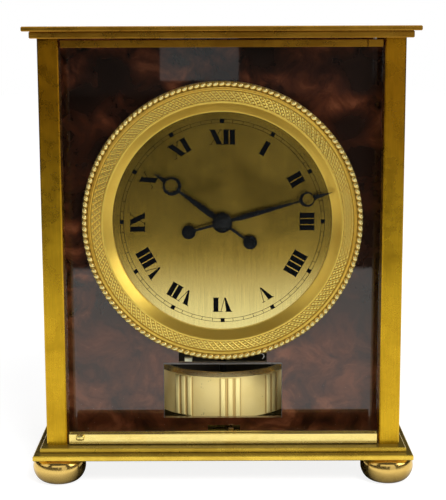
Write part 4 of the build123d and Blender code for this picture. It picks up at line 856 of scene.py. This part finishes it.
# fittings behind the panel: turned end and hoops of the drum, slotted screws, and jewels in their settings
fittings = {
    "drumEnd": [(0.01, -0.05), (33.6, -0.05), (33.6, 0.3), (33.4, 0.5), (33.1, 0.6), (31.5, 0.6), (31.2, 0.5),
                (31.0, 0.3), (27.7, 0.3), (27.5, 0.6), (27.2, 0.85), (26.7, 0.95), (25.9, 0.95), (25.5, 0.8),
                (25.3, 0.55), (14.0, 0.55), (13.8, 0.8), (13.5, 0.9), (12.7, 0.9), (12.4, 0.8), (12.3, 0.5),
                (6.4, 0.5), (6.2, 1.1), (5.9, 1.35), (5.3, 1.5), (2.0, 1.6), (0.01, 1.6)],
    "hoop": [(33.9, -1.0), (34.25, -0.8), (34.42, -0.4), (34.48, 0.0), (34.42, 0.4), (34.25, 0.8),
             (33.9, 1.0)],
    "hoopPlaces": (22.5, 33.5, 44.5), "hoopSteps": 128, "drumScrews": 6, "drumScrewPlace": 29.3,
    "drumScrewRise": 0.3, "drumScrew": {"radius": 1.3, "height": 0.7}, "drumScrewTurn": 0.7,
    "plateScrew": {"radius": 2.6, "height": 0.9}, "plateScrewInset": 2.5, "plateScrewTurns": (0.5, 1.1, 0.8),
    "bridgeScrew": {"radius": 1.7, "height": 0.7}, "bridgeScrewInset": 2.6, "bridgeScrewTurns": (0.4, 1.0),
    "setting": [(1.45, -0.05), (2.5, -0.05), (2.5, 0.25), (2.3, 0.4), (1.7, 0.4), (1.5, 0.25)],
    "settingSteps": 32,
    "jewel": [(0.01, -0.05), (1.55, -0.05), (1.5, 0.15), (1.2, 0.26), (0.7, 0.3), (0.01, 0.31)],
    "jewelSteps": 24, "jewelInset": 4,
}
screwForm = {"sunk": -0.05, "slotFloor": 0.45, "halfFloor": 0.4, "chamfer": 0.14, "slotHalf": asin(0.13),
             "arcSteps": 14, "turns": 24}


def behind(place):
    x, y, z = place
    return lambda u, v, h: Vector((x - u, y + h, z + v)) * mm


def turnedBehind(shape, profile, place, steps):
    toPlace = behind(place)
    shape.add(*turnedVerts(profile, steps, lambda r, h, t: toPlace(r * sin(t), r * cos(t), h)))


def addScrew(shape, place, turn, radius, height):  # a disc, and a half head on each side of the slot
    v = screwForm
    sunk, floor = v["sunk"], v["slotFloor"] * height
    turnedBehind(shape, [(0.01, sunk), (radius, sunk), (radius, floor), (0.01, floor)], place, v["turns"])
    for side in (0, pi):
        arc = [v["slotHalf"] + (pi - 2 * v["slotHalf"]) * k / v["arcSteps"] for k in range(v["arcSteps"] + 1)]
        outline = [(radius * cos(a + side + turn), radius * sin(a + side + turn)) for a in arc]
        shape.add(*slab(outline, v["halfFloor"] * height, height, behind(place), v["chamfer"] * height))


def makeFittings(v):
    end, hoops, screws, settings, jewels = Shape(), Shape(), Shape(), Shape(), Shape()
    low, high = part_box("bellows_drum")
    drumX, drumBack, drumZ = (low.x + high.x) / 2 / mm, high.y / mm, (low.z + high.z) / 2 / mm
    plateBack, bridgeBack = (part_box(node)[1].y / mm for node in ("movement_back_plate", "escapement_bridge"))
    turnedBehind(end, v["drumEnd"], (drumX, drumBack, drumZ), v["hoopSteps"])
    for y in v["hoopPlaces"]:
        turnedBehind(hoops, v["hoop"], (drumX, y, drumZ), v["hoopSteps"])
    for k in range(v["drumScrews"]):
        a = 2 * pi * (k + 0.5) / v["drumScrews"]
        x, z = drumX + v["drumScrewPlace"] * cos(a), drumZ + v["drumScrewPlace"] * sin(a)
        addScrew(screws, (x, drumBack + v["drumScrewRise"], z), v["drumScrewTurn"] * k, **v["drumScrew"])
    low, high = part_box("movement_pillars")
    inset, (first, perSide, perRow) = v["plateScrewInset"], v["plateScrewTurns"]
    for k, x in enumerate((low.x / mm + inset, high.x / mm - inset)):
        for j, z in enumerate((low.z / mm + inset, high.z / mm - inset)):
            addScrew(screws, (x, plateBack, z), first + perSide * k + perRow * j, **v["plateScrew"])
    low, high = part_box("escapement_bridge")
    inset, (first, perSide) = v["bridgeScrewInset"], v["bridgeScrewTurns"]
    for k, x in enumerate((low.x / mm + inset, high.x / mm - inset)):
        addScrew(screws, (x, bridgeBack, (low.z + high.z) / 2 / mm), first + perSide * k, **v["bridgeScrew"])
    thirdZ = sum(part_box("third_wheel"), Vector()).z / 2 / mm
    inset = v["jewelInset"]
    for y, z in ((plateBack, dialZ / mm), (plateBack, thirdZ), (bridgeBack, high.z / mm - inset),
                 (bridgeBack, low.z / mm + inset)):
        turnedBehind(settings, v["setting"], (0, y, z), v["settingSteps"])
        turnedBehind(jewels, v["jewel"], (0, y, z), v["jewelSteps"])
    newPiece("drumEnd", end, "movementBrass", "case", 28)
    newPiece("drumHoops", hoops, "movementBrass", "case", 40)
    newPiece("movementScrews", screws, "brightSteel", "case", 28)
    newPiece("jewelSettings", settings, "beadGilt", "case", 28)
    newPiece("jewels", jewels, "rubyJewel", "case", 50)


makeFittings(fittings)
print("fittings made")

# finishes of the carried nodes; a node that isn't named here is of the movement's brass
wears = {
    "oldBrass": ["front_left_pillar", "front_right_pillar", "rear_left_pillar", "rear_right_pillar"],
    "plateBrass": ["top_plate", "top_frame_plate"],
    "railBrass": ["door_top_rail", "door_hinge_block"],
    "baseBrass": ["base_top_plate", "base_bottom_plate"],
    "brightRail": ["door_bottom_rail", "door_knob"],
    "footBrass": ["front_left_foot", "front_right_foot", "rear_feet", "lock_lever"],
    "dialGilt": ["dial_plate"],
    "lacquer": ["fascia_panel"],
    "glass": ["door_glass", "left_side_glass", "right_side_glass", "rear_glass"],
    "pendulumGilt": ["pendulum_ring"],
    "darkenedBrass": ["pendulum_spider"],
    "brightSteel": ["door_hinge_pins", "suspension_wire", "pendulum_tube", "pallet_lever", "bellows_spring",
                    "winding_chain", "lock_post", "panel_brackets", "regulator_index", "suspension_clamp"],
    "tinPlate": ["bellows_capsule", "bellows_pressure_plate"],
}
worn = {node: kind for kind, group in wears.items() for node in group}
for name, node in nodes.items():
    node.data.materials.clear()
    node.data.materials.append(finish[worn.get(name, "movementBrass")])
print("carried nodes finished")

# the capsule, the spring and the chain are carried as pieces of their own on the case; fixedY is the end that
# stays
yielding = {"travel": 3.0, "parts": [("bellows_capsule", "capsuleYielding", 47.0, "bellows_tin"),
                                     ("bellows_spring", "springYielding", 18.508, "steel"),
                                     ("winding_chain", "chainYielding", -5.896, "steel")]}
for node, name, fixedY, slotName in yielding["parts"]:
    piece = bpy.data.objects.new(name, nodes[node].data.copy())
    bpy.context.scene.collection.objects.link(piece)
    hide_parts(node)
    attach(piece, "case")
    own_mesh(piece)
print("yielding parts made")

# white floor: the camera sees all of it, the clock mirrors only a sheet round it and two wings further out,
# with a painted shadow left dark on the sheet under the clock
floorSheet = {
    "half": 4.0, "sheetX": (-0.75, 1.2), "sheetY": (-0.62, 0.45), "sheetSoft": 0.012,
    "shadowFootprint": (0.1, 0.075), "nearLevel": 1.0, "farLevel": 0.93, "nearY": (-0.36, -0.15),
    "wingX": (0.34, 1.1), "wingXSoft": 0.04, "wingY": (-1.25, -0.62), "wingYSoft": 0.03, "wingLevel": 0.9,
    "openFrom": (0.16, 0.5), "openLevel": (0.86, 1.0), "tone": (0.08, 0.85), "seenTone": 0.3,
}


def stagePiece(name, corners):  # one flat face with an empty material
    mesh = bpy.data.meshes.new(name)
    mesh.from_pydata(corners, [], [(0, 1, 2, 3)])
    piece = bpy.data.objects.new(name, mesh)
    bpy.context.scene.collection.objects.link(piece)
    material, tree, shader = startMaterial(name)
    tree.nodes.remove(shader)
    material.cycles.emission_sampling = "NONE"
    mesh.materials.append(material)
    return piece, tree


def makeFloor(v):
    corners = [(x * v["half"], y * v["half"], 0) for x, y in ((-1, -1), (1, -1), (1, 1), (-1, 1))]
    tree = stagePiece("studioFloor", corners)[1]
    coords = places(tree)
    x, y = axisPart(tree, coords, "X"), axisPart(tree, coords, "Y")

    def between(value, low, high, soft):
        above = mapRange(tree, value, low - soft, low + soft)
        return maths(tree, "MULTIPLY", above, mapRange(tree, value, high + soft, high - soft))

    soft, (halfX, halfY) = v["sheetSoft"], v["shadowFootprint"]
    onSheet = maths(tree, "MULTIPLY", between(x, *v["sheetX"], soft), between(y, *v["sheetY"], soft))
    # painted shadow: under the clock the mirrored sheet is cut away and the floor is dark for bounced light
    under = maths(tree, "MULTIPLY", between(x, -halfX, halfX, soft), between(y, -halfY, halfY, soft))
    onSheet = maths(tree, "MULTIPLY", onSheet, maths(tree, "SUBTRACT", 1.0, under))
    sheetLevel = mapRange(tree, y, *v["nearY"], v["farLevel"], v["nearLevel"])
    # the slanting rim of the bezel mirrors the wings
    aside = between(maths(tree, "ABSOLUTE", x), *v["wingX"], v["wingXSoft"])
    onWing = maths(tree, "MULTIPLY", aside, between(y, *v["wingY"], v["wingYSoft"]))
    share = maths(tree, "ADD", maths(tree, "MULTIPLY", onSheet, sheetLevel),
                  maths(tree, "MULTIPLY", onWing, v["wingLevel"]))
    openness = mapRange(tree, length(tree, coords), *v["openFrom"], *v["openLevel"], smooth=True)
    path = addNode(tree, "LightPath", {}).outputs
    seen = path["Is Camera Ray"]
    mirrored = maths(tree, "MAXIMUM", path["Is Glossy Ray"], path["Is Transmission Ray"])
    strength = maths(tree, "ADD", maths(tree, "MULTIPLY", seen, openness),
                     maths(tree, "MULTIPLY", mirrored, share))
    glow = addNode(tree, "Emission", {"Color": (1, 1, 1, 1), "Strength": strength})
    tone = mapRange(tree, maths(tree, "MAXIMUM", onSheet, seen), 0, 1, *v["tone"])
    tone = maths(tree, "MULTIPLY", tone, mapRange(tree, seen, 0, 1, 1.0, v["seenTone"]))
    tone = maths(tree, "MULTIPLY", tone, maths(tree, "SUBTRACT", 1.0, mirrored))
    cloth = addNode(tree, "BsdfDiffuse", {"Color": tone})
    both = addNode(tree, "AddShader", {0: cloth.outputs[0], 1: glow.outputs[0]})
    feed(tree, tree.nodes["Material Output"], {"Surface": both.outputs[0]})


makeFloor(floorSheet)

# dim warm room all round, which the camera sees as white
room = {"colour": (1.0, 0.95, 0.88, 1), "level": 0.03}


def makeWorld(v):
    world = bpy.data.worlds.new("studioWorld")
    bpy.context.scene.world = world
    world.use_nodes = True
    tree = world.node_tree
    tree.nodes.clear()
    dim = addNode(tree, "Background", {"Color": v["colour"], "Strength": v["level"]}).outputs[0]
    white = addNode(tree, "Background", {"Color": (1, 1, 1, 1), "Strength": 1.0}).outputs[0]
    seen = addNode(tree, "LightPath", {}).outputs["Is Camera Ray"]
    mix = addNode(tree, "MixShader", {0: seen, 1: dim, 2: white})
    addNode(tree, "OutputWorld", {"Surface": mix.outputs[0]})


makeWorld(room)

# the front lamp lights paint and lacquer, and metal doesn't mirror it
lamps = {
    "front": {"power": 20.5, "size": 0.55, "place": (0.38, -0.95, 0.98), "mirrored": False},
    "key": {"power": 4.0, "size": 0.6, "place": (0.98, -0.46, 0.58), "mirrored": True},
    "fill": {"power": 1.4, "size": 0.7, "place": (-0.98, -0.46, 0.56), "mirrored": True},
    "top": {"power": 7.5, "size": 1.2, "place": (0.0, 0.45, 1.4), "mirrored": True},
}
lampAim = (0, 0, 0.11)
for name, v in lamps.items():
    data = bpy.data.lights.new(name + "Lamp", "AREA")
    data.shape = "SQUARE"
    data.size = v["size"]
    data.energy = v["power"]
    lamp = bpy.data.objects.new(name + "Lamp", data)
    lamp.location = v["place"]
    lamp.rotation_euler = (Vector(lampAim) - Vector(v["place"])).to_track_quat("-Z", "Y").to_euler()
    lamp.visible_glossy = v["mirrored"]
    bpy.context.scene.collection.objects.link(lamp)

# soft cards in front, seen only as reflections; low and high are (x, z)
cards = {
    "windowCard": {"low": (-0.098, 0.148), "high": (0.026, 0.42), "y": -1.46, "level": 0.55},
    "rightCard": {"low": (0.27, 0.0), "high": (0.95, 0.45), "y": -1.4, "level": 0.8},
    "upperCard": {"low": (-0.9, 0.41), "high": (0.9, 1.15), "y": -1.5, "level": 0.98},
}
cardLook = {"noise": (14, 2), "stops": [(0.3, (0.8, 0.8, 0.84)), (0.7, (1.0, 1.0, 1.0))]}
for name, v in cards.items():
    (x0, z0), (x1, z1), y = v["low"], v["high"], v["y"]
    card, tree = stagePiece(name, [(x0, y, z0), (x1, y, z0), (x1, y, z1), (x0, y, z1)])
    colour = ramp(tree, noise(tree, places(tree), *cardLook["noise"]), cardLook["stops"])
    glow = addNode(tree, "Emission", {"Color": colour, "Strength": v["level"]})
    feed(tree, tree.nodes["Material Output"], {"Surface": glow.outputs[0]})
    card.visible_camera = False
    card.visible_shadow = False

view = {"lens": 95.148, "place": (0.0003, -0.7092, 0.2287), "pitch": 9.51, "roll": -0.186}
cameraData = bpy.data.cameras.new("camera")
cameraData.lens = view["lens"]
cameraData.sensor_width = 36
cameraData.sensor_fit = "AUTO"
cameraData.clip_start = 0.01
camera = bpy.data.objects.new("camera", cameraData)
camera.location = view["place"]
turned = Matrix.Rotation(radians(90 - view["pitch"]), 4, "X") @ Matrix.Rotation(radians(view["roll"]), 4, "Z")
camera.rotation_euler = turned.to_euler()
bpy.context.scene.collection.objects.link(camera)
bpy.context.scene.camera = camera
bpy.context.scene.view_settings.view_transform = "Standard"
print("stage, lights and camera set")
